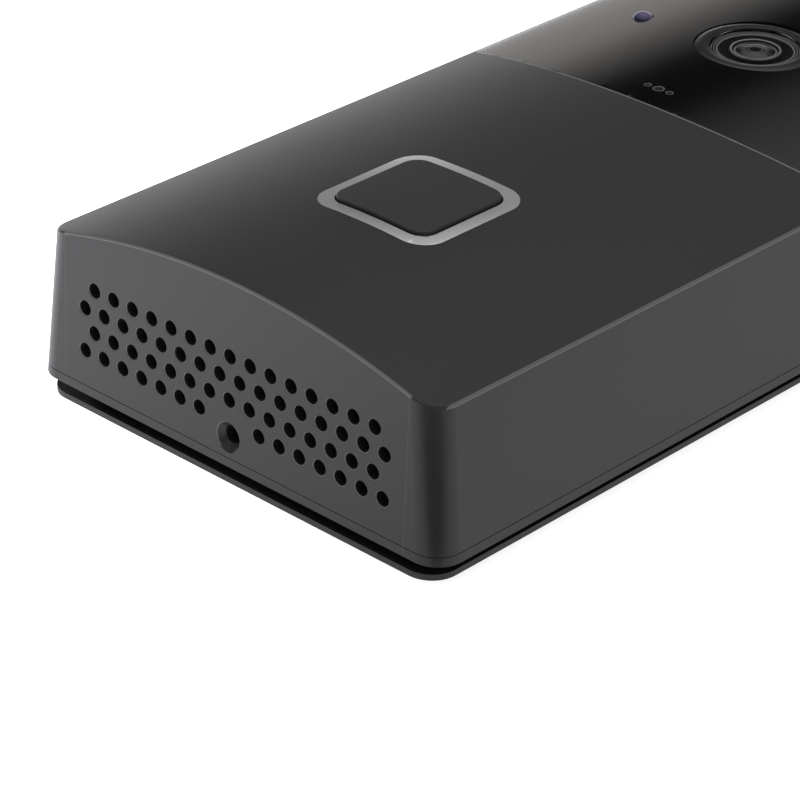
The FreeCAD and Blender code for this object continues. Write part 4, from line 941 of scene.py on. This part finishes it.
def ring_silver():
    material, wire = start("ring_silver")
    x, y, _ = parts(place(wire))
    y = y - BUTTON.y
    # painted sheen: the colour is lighter at two opposite corners and towards the upper end
    painted_sheen = (abs(x - y) / (0.9 * RING_SIZE)).limited()
    brushed = noise(wire, 4500.0, 2.0, (1, 3, 1))
    tone = painted_sheen * painted_sheen * (y / RING_SIZE * 0.5 + 0.75) + (brushed - 0.5) * 0.4
    tone = blend(wire, tone.limited(), (0.45, 0.45, 0.46), (0.97, 0.97, 0.98))
    surface(material, wire, Base_Color=tone, Roughness=0.42 + (brushed - 0.5) * 0.1, Metallic=0.9,
            Normal=bump(wire, brushed, 0.002 * mm))
    return material


def board():
    material, wire = start("board_green")
    columns, rows, _ = parts(place(wire))
    tracks = (abs((columns * 700.0).sum("SINE")) - 0.72) * 14.0
    stops = (noise(wire, 120.0, 0.0) - 0.5 + (rows * 260.0).sum("SINE") * 0.2) * 20.0
    line = tracks.limited() * stops.limited()
    surface(material, wire, Base_Color=blend(wire, line, (0.008, 0.060, 0.024), (0.018, 0.115, 0.045)),
            Roughness=0.38 - line * 0.08, Normal=bump(wire, line, 0.02 * mm))
    return material


def cell_wrap():
    material, wire = start("cell_wrap")
    _, along, _ = parts(place(wire))
    band_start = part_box("battery_cells")[1].y - 9 * mm
    band = ((along - band_start) * 9000.0).limited()
    tint = blend(wire, band, (0.012, 0.13, 0.30), (0.62, 0.63, 0.64))
    fine = noise(wire, 1500.0)
    surface(material, wire, Base_Color=tint, Roughness=0.30 + fine * 0.06,
            Normal=bump(wire, fine, 0.002 * mm))
    return material


def clear_glass():
    material, wire = start("lens_glass")
    smear = noise(wire, 300.0, 2.0)
    surface(material, wire, Base_Color=0.98, Transmission_Weight=1.0, IOR=1.18, Roughness=smear * 0.02)
    return material


# %% [markdown]
# The barrel has bare metal lines on black, the front lens has an iris and a pupil, and the two emitters
# pass from navy near the panel to violet at the top.

# %% Barrel, front lens and emitters


def barrel_black():
    material, wire = start("barrel_black")
    radius = radius_from(wire, LENS)
    outer, faint, bright = (LINES[i] / mm for i in range(3))
    lines = line_at(radius, bright, 0.16) * 1.4 + line_at(radius, faint, 0.12) * 0.8
    lines = lines + line_at(radius, outer, 0.12) * 0.8
    collar = line_at(radius, 3.4, 0.22)
    fine = noise(wire, 2200.0)
    surface(material, wire, Base_Color=blend(wire, (lines + collar).limited(), 0.0015, 0.5),
            Roughness=0.40 + fine * 0.06, Metallic=(lines + collar).limited() * 0.7, IOR=1.15)
    return material


def front_lens():
    material, wire = start("optic_glass")
    radius = radius_from(wire, LENS)
    iris = (1.0 - abs(radius - 1.55) / 0.75).limited() * 0.10
    rim = line_at(radius, 2.85, 0.2) * 0.30
    pupil = line_at(radius, 0.95, 0.22) * 0.12
    tone = iris + rim + pupil
    surface(material, wire, Base_Color=blend(wire, tone, (0.010, 0.010, 0.012), (0.95, 0.95, 1.0)),
            Roughness=0.08 + iris * 0.5, IOR=1.8)
    return material


def violet_dome():
    material, wire = start("led_violet")
    _, y, z = parts(place(wire))
    up = (z - (LED_TOP - LED_DOME)) / LED_DOME
    away = (y - LED_Y) / LED_RADIUS
    tone = (up * 0.8 + away * 0.5 + 0.1).limited()
    haze = noise(wire, 800.0)
    surface(material, wire, Base_Color=blend(wire, tone, (0.004, 0.014, 0.060), (0.16, 0.115, 0.25)),
            Roughness=0.22 + haze * 0.05, Specular_IOR_Level=0.3)
    return material


FINISHES.update(panel_gloss=gloss_panel(), ring_silver=ring_silver(), board_green=board(),
                cell_wrap=cell_wrap(), lens_glass=clear_glass(), barrel_black=barrel_black(),
                optic_glass=front_lens(), led_violet=violet_dome())

# %% [markdown]
# Every piece, new or from CAD, takes the finish of its slot in the record.

# %% Finishes on every piece
for sub in frame["record"]["subparts"]:
    nodes[sub["node"]].data.materials.clear()
    nodes[sub["node"]].data.materials.append(FINISHES[sub["material_slot"]])
for thing in bpy.data.objects:
    if thing.type == "MESH" and "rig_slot" in thing:
        thing.data.materials.clear()
        thing.data.materials.append(FINISHES[thing["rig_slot"]])

# %% [markdown]
# ## Floor and light
# The floor is white and glows a little, so the ends and sides of the housing mirror something bright.  One
# large softbox hangs overhead.  The studio's walls are white as far up as a person's shoulder, then dark,
# then light again near the ceiling: the low band brightens the left edge of the crown, and the dark one
# leaves the gloss panel its black middle.

# %% Floor
bpy.ops.object.select_all(action="DESELECT")
bpy.ops.mesh.primitive_plane_add(size=8.0, location=(0, 0, 0))
floor = settle("floor")
white, floor_wire = start("floor_white")
leftness = (0.03 - parts(place(floor_wire))[0]).limited() * 10.0
bright = blend(floor_wire, leftness.limited(), (0.42, 0.42, 0.43), (1.0, 0.99, 1.05))
surface(white, floor_wire, Base_Color=blend(floor_wire, noise(floor_wire, 3.0), 0.55, 0.57), Roughness=0.9,
        Emission_Color=bright, Emission_Strength=1.9)
floor.data.materials.append(white)

# %% [markdown]
# The corner nearest the camera would mirror the white floor in front of it.  A small black card lies there,
# hidden from the camera, and gives that corner the dark line that tells the two faces apart.

# %% Black card
card = block("black_card", (36 * mm, -160 * mm, 0.2 * mm), (120 * mm, -71 * mm, 0.3 * mm))
card.visible_camera = False
card.visible_diffuse = False
card.visible_shadow = False
card.visible_transmission = False
black, card_wire = start("card_black")
surface(black, card_wire, Base_Color=blend(card_wire, noise(card_wire, 20.0), 0.001, 0.003), Roughness=1.0,
        Specular_IOR_Level=0.0)
card.data.materials.append(black)

# %% Lights


def panel_light(name, spot, aim_at, width, height, radiance):
    """A rectangular lamp of a given brightness that faces a point."""
    bpy.ops.object.select_all(action="DESELECT")
    bpy.ops.object.light_add(type="AREA", location=spot)
    lamp = bpy.context.object
    lamp.name = name
    lamp.data.shape = "RECTANGLE"
    lamp.data.size = width
    lamp.data.size_y = height
    lamp.data.energy = radiance * math.pi * width * height
    lamp.rotation_euler = (Vector(aim_at) - Vector(spot)).to_track_quat("-Z", "Y").to_euler()
    return lamp


panel_light("softbox", (0.0, 0.0, 1.25), (0, 0, 0), 2.0, 2.0, 0.55)
panel_light("side_strip", (-1.44, 0.46, 0.52), (0, 0, 0.02), 0.22, 0.34, 2.6)
world = bpy.data.worlds.new("studio")
bpy.context.scene.world = world
world.use_nodes = True
backdrop = next(n for n in world.node_tree.nodes if n.type == "BACKGROUND")
sky = Wire(world.node_tree)
direction = sky.make("ShaderNodeTexCoord", out="Generated")
upness = parts(direction)[2]
low_wall = ((0.355 - upness) / 0.17).limited() * 0.68
overhead = ((upness - 0.465) * 5.8).limited() * 0.55
glow = low_wall + overhead + 0.015
tinted = blend(sky, glow, (0.0, 0.0, 0.0), (1.03, 1.0, 0.97))
sky.tree.links.new(tinted.socket, backdrop.inputs["Color"])
backdrop.inputs["Strength"].default_value = 1.0
